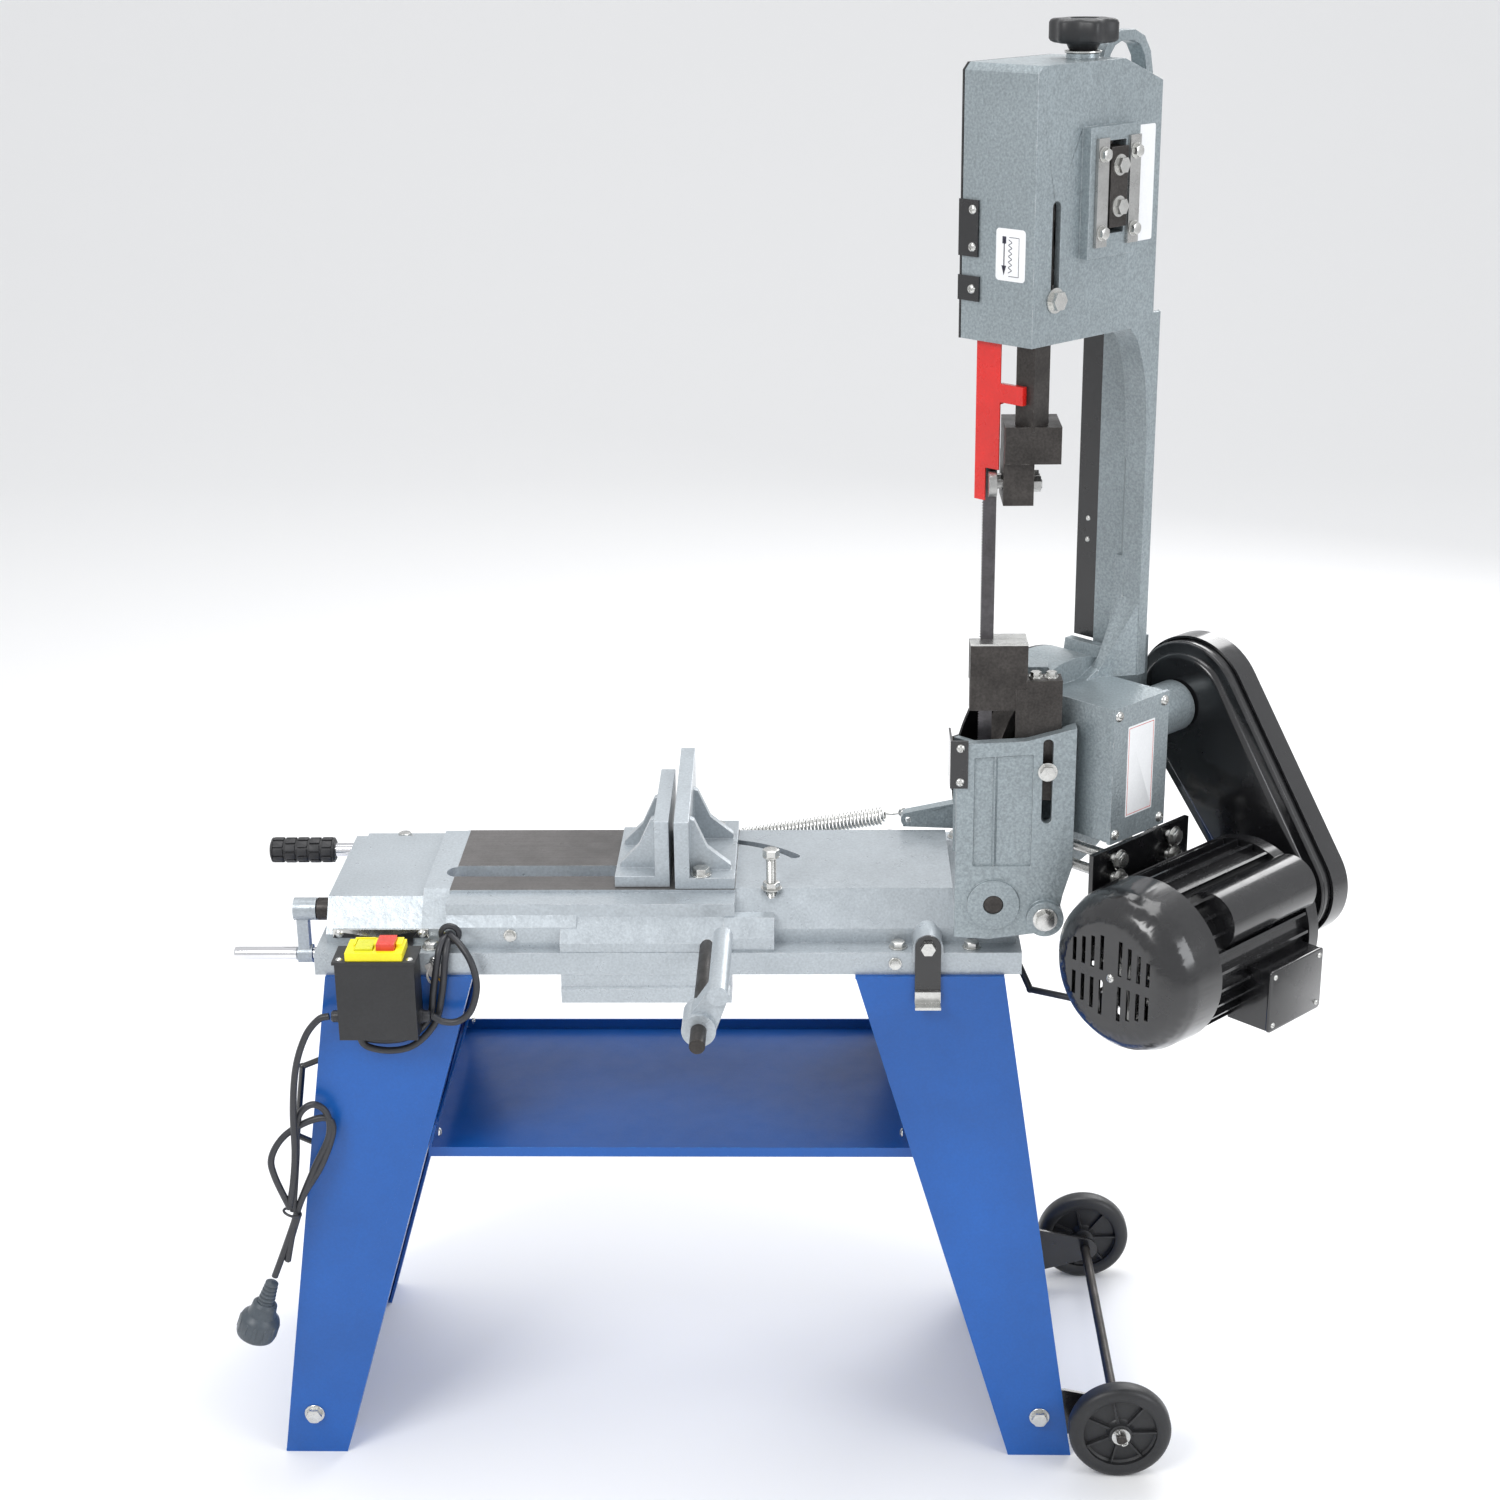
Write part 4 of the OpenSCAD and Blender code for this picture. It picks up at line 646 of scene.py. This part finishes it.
def build_axle():
    low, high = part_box("wheel_axle")
    r = (high.x - low.x) / 2 / MM
    length = (high.y - low.y) / MM
    centre_z = joint_at("near_wheel_spin").z / MM
    centre_x = joint_at("near_wheel_spin").x / MM
    shape = Shape()
    shape.put(rod(r, length, 1.0), basis(mm(centre_x, low.y / MM, centre_z), Y))
    for side in (-1, 1):
        spot = mm(centre_x, side * (length / 2 - 4), centre_z)
        turned = Matrix.Translation(spot) @ Matrix.Rotation(0.5 * side, 4, "Y")
        legs = [(-4, 0, 8.4), (-1.0, 0, 6.5), (-0.8, 0, 0), (-0.8, 0, -5.5), (-2.8, 0, -7), (-2.2, 0, -8.3),
                (0, 0, -8.8), (2.2, 0, -8.3), (2.8, 0, -7), (0.8, 0, -5.5), (0.8, 0, 0), (1.0, 0, 6.5),
                (2.6, 0, 8.6)]
        shape.put(sweep(curve_through(legs, 4), 0.8, 8), turned, 1)
        washer = lathe([(r, -0.8), (9, -0.8), (9, 0.8), (r, 0.8)], 32)
        shape.put(washer, basis(mm(centre_x, side * (length / 2 - 6.8), centre_z), Y), 1)
    piece = shape.build("wheel_axle_with_pins", "stand", ["dark_steel", "zinc_steel"], ["wheel_axle"])


def build_stand_bolts():
    shape = Shape()
    for low, high in islands("stand_bolts"):
        size, centre = high - low, (low + high) / 2
        if size.x < 6:                       # tray screws
            away = X if centre.x > 0 else -X
            face = low.x if centre.x > 0 else high.x
            shape.put(pan_part(4.5), basis(mm(face, centre.y, centre.z), -away, Z))
        elif size.z > 25:                    # shanks and nuts under the bed's flange
            shape.put(rod(4, size.z, 0.5), basis(mm(centre.x, centre.y, low.z), Z))
            shape.put(hex_part(7, 5), basis(mm(centre.x, centre.y, high.z - 22), -Z))
        elif abs(centre.y) < 152 and size.z < 9 and size.y > 10:
            shape.put(hex_part(7, 5), basis(mm(centre.x, centre.y, low.z), Z))
        else:                                # bolts through the legs, screws in the bed's front
            side = -1 if centre.y < 0 else 1
            r = 8 if size.y > 12 else 5
            face = side * (abs(low.y if side < 0 else high.y) - (7 if r == 8 else 5))
            shape.put(hex_part(r, 6 if r == 8 else 4), basis(mm(centre.x, face, centre.z), Y * side, X))
            if r == 8:
                shape.put(rod(4.8, 12, 0.5), basis(mm(centre.x, face, centre.z), Y * -side))
    piece = shape.build("stand_fasteners", "stand", ["zinc_steel"], ["stand_bolts"], 0.15)


def build_lift_grip():
    low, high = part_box("lift_grip")
    length, r = (high.x - low.x) / MM, (high.z - low.z) / 2 / MM
    centre = (low + high) / 2 / MM
    place = basis(mm(low.x / MM, centre.y, centre.z), X, Z)
    core = r - 2.2
    shape = Shape()
    shape.put(lathe([(0, 0), (core - 2, 0), (core, 1), (core + 0.8, 3), (core + 0.8, length - 3),
                     (core, length - 0.6), (core - 1.5, length), (0, length)], 48), place)
    rows, around = 5, 9
    pitch = (length - 5) / rows
    for k in range(rows):
        for i in range(around):
            a = TURN * (i + 0.5 * (k % 2)) / around
            pad = slab(pitch - 1.8, TURN * r / around - 1.8, 2.0, 1.2, 0.7)
            out = Vector((math.cos(a), math.sin(a), 0))
            spot = out * (core + 0.2) + Vector((0, 0, 2.5 + pitch * (k + 0.5)))
            local = basis(spot * MM, out, Vector((0, 0, 1)))
            shape.put(pad, place @ local)
    for h in (1.5, length - 3.5):
        rim = [(core, h), (r - 0.6, h), (r, h + 0.6), (r, h + 1.4), (r - 0.6, h + 2), (core, h + 2)]
        shape.put(lathe(rim, 48), place)
    piece = shape.build("rubber_lift_grip", "stand", ["rubber_grip"], ["lift_grip"])


def spring_path(a, b, coil, turns, hook_a, hook_b):
    """Hook, coil and hook of a tension spring from a to b, in millimetres."""
    axis = (b - a).normalized()
    side = axis.cross(Z).normalized()
    over = side.cross(axis).normalized()
    length = (b - a).length
    path = []
    for i in range(9):
        t = math.pi * 1.5 * (1 - i / 8)
        path.append(a + over * math.sin(t) * 4 - axis * (math.cos(t) * 4 - 4))
    path.append(a + axis * hook_a * 0.7)
    steps = 14
    for i in range(turns * steps + 1):
        t = TURN * i / steps
        along = hook_a + (length - hook_a - hook_b) * i / (turns * steps)
        grow = min(1, i / steps, (turns * steps - i) / steps)
        reach = coil * (0.25 + 0.75 * grow)
        path.append(a + axis * along + (over * math.cos(t) + side * math.sin(t)) * reach)
    path.append(b - axis * hook_b * 0.7)
    for i in range(9):
        t = math.pi * 1.5 * i / 8
        path.append(b + over * math.sin(t) * 4 + axis * (math.cos(t) * 4 - 4))
    return path


def build_spring():
    start = Vector((26, 90, 560))
    end = Vector((233, 72, 600))
    shape = Shape()
    shape.put(sweep(spring_path(start, end, 8.0, 40, 40, 22), 1.25, 8))
    post = Shape()
    post.put(threaded(4, 20), basis(mm(start.x, start.y, 543), Z))
    post.put(hex_part(7, 4), basis(mm(start.x, start.y, 547), Z))
    coil = shape.build("counter_spring_coil", "stand", ["zinc_steel"], ["counter_spring"])
    anchor = post.build("spring_anchor", "stand", ["zinc_steel"])


# ---- Switch, cables and plug ----

def build_cables():
    r = 3.3
    loops = [
        # Mains cable: down from the box, round its loop and on to the plug
        [(-311, -172.2, 493), (-321, -173, 490), (-334, -175, 474), (-345, -177, 443), (-351, -177, 400),
         (-353, -177, 352), (-357, -177.5, 320), (-362, -177.5, 296)],
        [(-362, -177.5, 292), (-374, -177.5, 326), (-376, -176, 346), (-364, -172, 366), (-342, -169, 380),
         (-322, -168, 384), (-317, -168, 370), (-330, -170, 335), (-350, -172, 302), (-362, -173, 270),
         (-372, -173, 244), (-384, -173, 214)],
        [(-360, -175, 288), (-353, -173, 345), (-349, -171, 385), (-335, -169, 399), (-322, -168, 390),
         (-321, -169, 366), (-338, -171, 330), (-356, -173, 288), (-364, -173, 258), (-370, -172, 232),
         (-366, -171, 252), (-356, -173, 282)],
        # Cable from the box to the grommet in the bed
        [(-214, -172.2, 493), (-204, -173.5, 488), (-190, -174, 489), (-178, -174, 500),
         (-172, -171, 522), (-176, -165, 542), (-186, -156, 556), (-196, -146, 562), (-199, -139.4, 562)],
        # Two strands that hang behind the box
        [(-202, -141, 561), (-206, -150, 557), (-209, -158, 545), (-214, -161, 515), (-219, -163, 487),
         (-238, -165, 469), (-262, -166, 465), (-286, -168, 470), (-290, -169, 480)],
        [(-197, -141, 561), (-200, -151, 556), (-202, -159, 543), (-206, -161, 512), (-214, -163, 482),
         (-234, -167, 461), (-258, -169, 456), (-280, -171, 463), (-284, -172, 480)],
    ]
    shape = Shape()
    for path in loops:
        shape.put(sweep(curve_through(path, 9), r, 12))
    tie = sweep([(8.5 * math.cos(a), 6.5 * math.sin(a), 0) for a in
                 (TURN * i / 24 for i in range(25))], 1.3, 6)
    shape.put(tie, basis(mm(-361, -175, 286), Vector((0.35, 0, 1)), X))
    grommet = lathe([(6, -1), (10, -1), (11, 1), (10, 3), (7.5, 4), (6, 3)], 32)
    shape.put(grommet, basis(mm(-199, -138.6, 562), -Y))
    for x, away in ((-299, -1), (-226, 1)):
        gland = [(0, 0), (6.6, 0), (6.6, 3), (5.7, 3.4), (5.7, 8), (4.6, 9.5), (0, 9.5)]
        shape.put(lathe(gland, 24), basis(mm(x, -172.2, 493), X * away))
    piece = shape.build("cable_loops", "stand", ["cable_rubber"], ["mains_cable"])


def build_plug():
    top = mm(-387.4, -173, 206.5)
    down = Vector((math.sin(math.radians(200)), 0, math.cos(math.radians(200))))
    place = basis(top, down, Y)
    shape = Shape()
    sleeve = [(0, -3)]
    for i in range(6):
        groove, rib, h = 4.6 + i * 0.35, 6.4 + i * 0.4, i * 4.2
        sleeve += [(groove, h - 2), (rib, h - 0.6), (rib, h + 1.2), (groove + 0.2, h + 2)]
    sleeve += [(8, 24), (0, 24)]
    shape.put(lathe(sleeve, 32), place)
    body = [(0, 22), (9.5, 22), (12, 24.5), (12.6, 30), (14, 36), (18.5, 40), (19.6, 43), (19.6, 58),
            (18.6, 61), (16, 63), (0, 63)]
    shape.put(lathe(body, 48), place)
    for i in range(12):
        a = TURN * i / 12
        out = Vector((math.cos(a), math.sin(a), 0))
        shape.put(slab(15, 3.0, 1.2, 1.2, 0.5), place @ basis((out * 18.9 + Vector((0, 0, 50))) * MM, out,
                                                               Vector((0, 0, 1))))
    for s in (-1, 1):
        shape.put(rod(2.0, 5, 0.6, 16), place @ Matrix.Translation(mm(9.5 * s, 0, 61)), 1)
    piece = shape.build("mains_plug_moulded", "stand", ["plug_plastic", "chrome"], ["mains_plug"])


# ---- Arm pieces ----

def build_knob():
    centre = joint_at("tension_knob_turn")
    low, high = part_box("tension_knob")
    top = high.z / MM
    r = (high.x - low.x) / 2 / MM
    place = basis(Vector((centre.x, centre.y, 0)), Z, ACROSS)
    shape = Shape()
    steps, lobes, lobe_depth = 96, 6, 0.17
    levels = [(0.30, -20, 0), (0.86, -19.6, 0.6), (0.955, -18.4, 1), (1.0, -16.5, 1), (1.0, -3.6, 1),
              (0.955, -1.4, 1), (0.88, -0.4, 0.8), (0.62, 0, 0.3), (0.42, 0, 0), (0.40, -1.0, 0),
              (0.05, -1.0, 0)]
    rings = []
    for share, drop, wave in levels:
        ring = []
        for i in range(steps):
            a = TURN * i / steps
            lobe = abs(math.sin(lobes / 2 * a)) ** 1.6
            reach = r * share * (1 - lobe_depth * wave * lobe)
            ring.append((reach * math.cos(a), reach * math.sin(a), top + drop))
        rings.append(ring)
    shape.put(ring_stack(rings), place)
    foot = low.z / MM
    boss = 1344.2
    neck = [(0, boss + 2.2), (11.5, boss + 2.2), (12, boss + 2.8), (14.5, top - 20), (0, top - 19.5)]
    shape.put(lathe(neck, 48), place)
    shape.put(lathe([(0, boss), (15, boss), (15.5, boss + 0.4), (15.5, boss + 1.6), (15, boss + 2.0),
                     (0, boss + 2.2)], 48), place, 1)
    shape.put(threaded(4.95, boss + 4 - foot, 1.75), place @ Matrix.Translation(mm(0, 0, foot)), 1)
    piece = shape.build("tension_knob_moulded", "tension_knob", ["black_plastic", "zinc_steel"],
                        ["tension_knob"])


def build_blade():
    """Endless toothed band round both wheels, twisted 45 degrees between the guides."""
    r, thick, width, pitch = WHEEL_R + 0.35, 0.32, 12.6, 2.54
    low_z, high_z = DRIVE.z / MM, IDLER.z / MM
    straight, half = high_z - low_z, math.pi * r
    total = 2 * (straight + half)
    count = int(total / (pitch / 2)) // 2 * 2
    points, faces = [], []

    def ease(x):
        x = max(0.0, min(1.0, x))
        return x * x * (3 - 2 * x)

    for i in range(count):
        s = total * i / count
        twist = 0.0
        if s < straight:                     # cutting run, from the upper wheel down
            z = high_z - s
            spot, out = wheel_point(-r, 0, z), -ACROSS
            twist = ease((1185 - z) / 60) * ease((z - 728) / 34) * math.pi / 4
        elif s < straight + half:            # round the drive wheel
            a = (s - straight) / r
            spot = wheel_point(-r * math.cos(a), 0, low_z - r * math.sin(a))
            out = -ACROSS * math.cos(a) - Z * math.sin(a)
        elif s < 2 * straight + half:        # return run
            z = low_z + (s - straight - half)
            spot, out = wheel_point(r, 0, z), ACROSS
        else:                                # round the idler wheel
            a = (s - 2 * straight - half) / r
            spot = wheel_point(r * math.cos(a), 0, high_z + r * math.sin(a))
            out = ACROSS * math.cos(a) + Z * math.sin(a)
        turn = Matrix.Rotation(twist, 3, "Z")
        wide, flat = turn @ AXLE, turn @ out
        tooth = -width / 2 + (1.5 if i % 2 else 0.0)
        for w, f in ((tooth, -thick), (tooth, thick), (width / 2, thick), (width / 2, -thick)):
            points.append((spot + (wide * w + flat * f) * MM) / MM)
    for i in range(count):
        j = (i + 1) % count
        for k in range(4):
            m = (k + 1) % 4
            faces.append([4 * i + k, 4 * i + m, 4 * j + m, 4 * j + k])
    shape = Shape().put((points, faces))
    piece = shape.build("toothed_blade", "saw_arm", ["blade_steel"], ["saw_blade"], smooth=20)


def in_wheel_frame(p):
    flat = Vector(p) * MM - Vector((DRIVE.x, DRIVE.y, 0))
    return flat.dot(ACROSS) / MM, flat.dot(AXLE) / MM, p[2]


def build_arm_screws():
    shape = Shape()
    for low, high in islands("arm_screws"):
        centre, size = (low + high) / 2, high - low
        t, n, z = in_wheel_frame(centre)
        if size.x > 50:                      # studs of the motor plate
            shape.put(threaded(4.9, 88), basis(wheel_point(t, 20.4, z), AXLE))
            for start, height in ((25, 6), (103.2, 4)):
                shape.put(hex_part(8, height, 1.2), basis(wheel_point(t, start, z), AXLE, Z))
        elif abs(centre.x - 271) < 4 and centre.y < -160:
            shape.put(pan_part(4), basis(mm(centre.x, -168, z), -Y, Z))
        elif abs(centre.x - 350) < 6 and z < 600:
            shape.put(hex_part(9, 6), basis(mm(centre.x, -172, z), -Y, Z))
            shape.put(rod(5, 22), basis(mm(centre.x, -172, z), Y))
        elif t < -95:                        # screws of the cover's tabs
            shape.put(pan_part(4), basis(wheel_point(-105, n, z), -ACROSS, Z))
        elif n > 100:                        # screws of the gearbox cover
            shape.put(pan_part(5), basis(wheel_point(t, 106, z), AXLE, Z))
        else:                                # screws of the gib plates
            shape.put(hex_part(5.5, 4, 1.2), basis(wheel_point(t, 66, z), AXLE, Z))
    piece = shape.build("arm_fasteners", "saw_arm", ["zinc_steel"], ["arm_screws"])


def hull_of_two(first, r1, second, r2, steps=24):
    """Outline round two circles as (x, y) points."""
    (x1, y1), (x2, y2) = first, second
    gap = math.hypot(x2 - x1, y2 - y1)
    heading = math.atan2(y2 - y1, x2 - x1)
    spread = math.acos((r1 - r2) / gap)
    outline = []
    for i in range(steps + 1):
        a = heading + spread + (TURN - 2 * spread) * i / steps
        outline.append((x1 + r1 * math.cos(a), y1 + r1 * math.sin(a)))
    for i in range(steps + 1):
        a = heading - spread + 2 * spread * i / steps
        outline.append((x2 + r2 * math.cos(a), y2 + r2 * math.sin(a)))
    return outline


def build_pulley_cover():
    """Pressed step on the inner side of the pulley case."""
    worm = in_wheel_frame(joint_at("worm_spin") / MM)
    motor = in_wheel_frame(joint_at("motor_spin") / MM)
    case_face = 122.0
    steps = ((0.6, 0.0), (0.8, -1.2), (1.8, -2.2), (9, -2.4), (10.5, -3.2), (11.5, -5.4), (13, -6.6),
             (15, -7.0))
    rings = []
    for inset, t in steps:
        outline = hull_of_two((worm[1] + 6, worm[2]), 60 - inset, (motor[1] + 4, motor[2] + 16), 50 - inset)
        rings.append([wheel_point(case_face + t, n, z) / MM for n, z in outline])
    shape = Shape().put(ring_stack(rings))
    piece = shape.build("pulley_case_step", "saw_arm", ["black_paint"], smooth=30)


def build_labels():
    shape = Shape()
    # Blade direction sticker on the head's left wall
    place = basis(wheel_point(-103, 29, 1188), -ACROSS, AXLE)
    shape.put(slab(32, 43, 0.35, 3.5, 0.15), place)
    mark = place @ Matrix.Translation(mm(0, 0, 0.3))
    shape.put(slab(1.1, 26, 0.15, 0.4, 0.05), mark @ Matrix.Translation(mm(-7, 0, 0)), 1)
    shape.put(slab(4.2, 6, 0.15, 0.5, 0.05), mark @ Matrix.Translation(mm(-7, 12, 0)), 1)
    head = [(-2.6, 4), (2.6, 4), (0, -4)]
    shape.put(prism(head, 0.15), mark @ Matrix.Translation(mm(-7, -13, 0)), 1)
    for i in range(6):
        for s in (-1, 1):
            tooth = mark @ Matrix.Translation(mm(-0.4, 11.5 - 4.6 * i - (2.3 if s > 0 else 0), 0))
            shape.put(slab(4.4, 0.6, 0.15, 0.2, 0.05), tooth @ Matrix.Rotation(0.5 * s, 4, "Z"), 1)
    shape.put(slab(0.5, 32, 0.15, 0.2, 0.05), mark @ Matrix.Translation(mm(9, -1.5, 0)), 1)
    for y in (14.5, -17.5):
        shape.put(slab(11, 0.5, 0.15, 0.2, 0.05), mark @ Matrix.Translation(mm(3.7, y, 0)), 1)
    # Blank plate beside the gib plates and blank label on the gearbox cover
    shape.put(slab(29, 97, 0.5, 2.0, 0.2), basis(wheel_point(37, 54, 1236), AXLE, ACROSS))
    cover = basis(wheel_point(0, 106, 729), AXLE, ACROSS)
    shape.put(slab(38, 86, 0.35, 1.0, 0.15), cover)
    for w, h, x, y in ((35, 0.5, 0, 41), (35, 0.5, 0, -41), (0.5, 82, 17.3, 0), (0.5, 82, -17.3, 0)):
        shape.put(slab(w, h, 0.12, 0.2, 0.05), cover @ Matrix.Translation(mm(x, y, 0.32)), 2)
    piece = shape.build("blank_labels", "saw_arm", ["label", "label_ink", "red_plastic"])


def build_guard_rivets():
    """Rivets on the face of the return guard that shows through the arm's throat."""
    shape = Shape()
    for z in (925, 905):
        shape.put(pan_part(2.6, False), basis(wheel_point(66, -15, z), -ACROSS, Z))
    piece = shape.build("guard_rivets", "saw_arm", ["zinc_steel"])


def build_bed_details():
    shape = Shape()
    shape.put(pan_part(4.2), basis(mm(-207.5, -127, 554), -Y, Z))
    piece = shape.build("earth_screw", "stand", ["brass"])
    tag = Shape()
    tag.put(pan_part(3.2), basis(mm(-213, -152.2, 541), -Y, Z), 1)
    tag.put(slab(9, 11, 0.8, 3.5, 0.2), basis(mm(-213, -151.2, 538), -Y, X), 1)
    tag.put(slab(8, 14, 0.5, 1.5, 0.15), basis(mm(-209, -153, 530), Vector((0.2, -1, 0.1)), X), 0)
    tag.put(slab(7, 13, 0.5, 1.5, 0.15), basis(mm(-217, -153, 531), Vector((-0.3, -1, 0.2)),
                                               Vector((0.9, 0, 0.5))), 0)
    for k, x in enumerate((-217, -210)):
        wire = [(x, -153, 535), (x - 3, -155, 528), (x - 1 + 4 * k, -156, 521), (x + 4, -155, 518),
                (x + 6 - 3 * k, -153, 525)]
        tag.put(sweep(curve_through(wire, 6), 1.1, 8), None, 2 if k else 0)
    piece = tag.build("earth_tag", "stand", ["white_tag", "zinc_steel", "orange_wire"])


def build_stop_bolt():
    low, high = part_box("travel_stop_bolt")
    x, y = (low.x + high.x) / 2 / MM, (low.y + high.y) / 2 / MM
    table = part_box("fixed_jaw")[0].z / MM
    foot, top = low.z / MM, high.z / MM
    shape = Shape()
    shape.put(threaded(4.9, top - 7 - foot), basis(mm(x, y, foot), Z))
    shape.put(hex_part(8, 6), basis(mm(x, y, table), Z))
    shape.put(hex_part(8, 6.8, 1.0), basis(mm(x, y, top - 8), Z))
    piece = shape.build("travel_stop_bolt_threaded", "stand", ["zinc_steel"], ["travel_stop_bolt"])


def build_crank_handle():
    low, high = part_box("crank_handle")
    centre = joint_at("crank_handle_spin")
    length = (high.x - low.x) / MM
    r = 6.5
    shape = Shape()
    profile = [(0, 0), (r - 1.6, 0), (r - 0.5, 0.5), (r, 1.8), (r, length - 19), (r - 0.8, length - 18.2),
               (4, length - 18), (4, length - 2.8), (6, length - 2.6), (6, length - 0.5), (5.5, length),
               (0, length)]
    shape.put(lathe(profile, 48), basis(Vector((low.x, centre.y, centre.z)), X))
    piece = shape.build("crank_handle_turned", "crank_handle", ["chrome"], ["crank_handle"])


def build_motor_trim():
    """Screw of the fan cowl, and the terminal box lid with its screws."""
    centre = in_wheel_frame(joint_at("motor_spin") / MM)
    n, z = centre[1], centre[2]
    shape = Shape()
    shape.put(pan_part(4), basis(wheel_point(-120, n, z), -ACROSS, Z), 1)
    lid = basis(wheel_point(24, n + 92, z - 28), AXLE, ACROSS)
    shape.put(slab(79, 59, 3.5, 4, 1.4), lid @ Matrix.Translation(mm(0, 0, -1.5)))
    for x in (-33, 33):
        for y in (-23, 23):
            shape.put(pan_part(2.6), lid @ Matrix.Translation(mm(x, y, 2)), 1)
    piece = shape.build("motor_trim", "motor", ["black_paint", "zinc_steel", "label"])


# ---- Stage ----

def build_stage():
    """Pale floor that curves up into the backdrop, and an even sky."""
    near, far, bend, top, half = -6.0, 7.0, 3.0, 9.0, 14.0
    profile = [(near, 0.0), (far - bend, 0.0)]
    for i in range(1, 13):
        a = i / 12 * math.pi / 2
        profile.append((far - bend + bend * math.sin(a), bend - bend * math.cos(a)))
    profile.append((far, top))
    points = [(x, y, z) for y, z in profile for x in (-half, half)]
    faces = [(2 * i, 2 * i + 1, 2 * i + 3, 2 * i + 2) for i in range(len(profile) - 1)]
    floor = bpy.data.meshes.new("floor")
    floor.from_pydata(points, [], faces)
    floor.shade_smooth()
    plane = bpy.data.objects.new("floor", floor)
    bpy.context.scene.collection.objects.link(plane)
    pale = bpy.data.materials.new("pale_floor")
    pale.use_nodes = True
    shader = pale.node_tree.nodes["Principled BSDF"]
    shader.inputs["Base Color"].default_value = (0.90, 0.90, 0.90, 1)
    shader.inputs["Roughness"].default_value = 0.8
    shader.inputs["Specular IOR Level"].default_value = 0.2
    plane.data.materials.append(pale)
    world = bpy.data.worlds.new("studio")
    world.use_nodes = True
    world.node_tree.nodes["Background"].inputs["Color"].default_value = (0.97, 0.98, 1.0, 1)
    world.node_tree.nodes["Background"].inputs["Strength"].default_value = 0.8
    bpy.context.scene.world = world
    bpy.context.scene.view_settings.view_transform = "Standard"


def soft_light(name, place, target, width, height, watts, tint=(1, 1, 1)):
    light = bpy.data.lights.new(name, "AREA")
    light.shape = "RECTANGLE"
    light.size, light.size_y = width, height
    light.energy = watts
    light.color = tint
    lamp = bpy.data.objects.new(name, light)
    bpy.context.scene.collection.objects.link(lamp)
    lamp.location = place
    lamp.rotation_euler = (Vector(target) - Vector(place)).to_track_quat("-Z", "Y").to_euler()


def build_lights():
    middle = (0.05, 0, 0.7)
    soft_light("key", (-1.6, -2.2, 3.0), middle, 1.6, 1.2, 52)
    soft_light("fill", (2.6, -1.6, 1.8), middle, 1.5, 1.5, 28, (0.95, 0.97, 1))
    soft_light("top", (0.3, 0.6, 3.4), middle, 2.0, 2.0, 45)
    soft_light("rim", (1.5, 2.4, 1.9), middle, 1.2, 1.8, 30)


def build_camera():
    """Camera in front of the machine, a little above the arm, looking down on the bed."""
    pitch, yaw, roll = (math.radians(a) for a in (19.9, -1.8, -0.8))
    ahead = Vector((math.sin(yaw) * math.cos(pitch), math.cos(yaw) * math.cos(pitch), -math.sin(pitch)))
    right = Vector((math.cos(yaw), -math.sin(yaw), 0))
    up = right.cross(ahead)
    side = right * math.cos(roll) + up * math.sin(roll)
    over = up * math.cos(roll) - right * math.sin(roll)
    data = bpy.data.cameras.new("camera")
    data.lens, data.sensor_width = 58.56, 36
    camera = bpy.data.objects.new("camera", data)
    bpy.context.scene.collection.objects.link(camera)
    turned = Matrix((side, over, -ahead)).transposed().to_4x4()
    turned.translation = (0.148, -2.210, 1.493)
    camera.matrix_world = turned
    bpy.context.scene.camera = camera


dress_all()
build_cart_wheels()
build_axle()
build_stand_bolts()
build_lift_grip()
build_spring()
build_cables()
build_plug()
build_knob()
build_blade()
build_arm_screws()
build_pulley_cover()
build_labels()
build_guard_rivets()
build_bed_details()
build_stop_bolt()
build_crank_handle()
build_motor_trim()
build_stage()
build_lights()
build_camera()
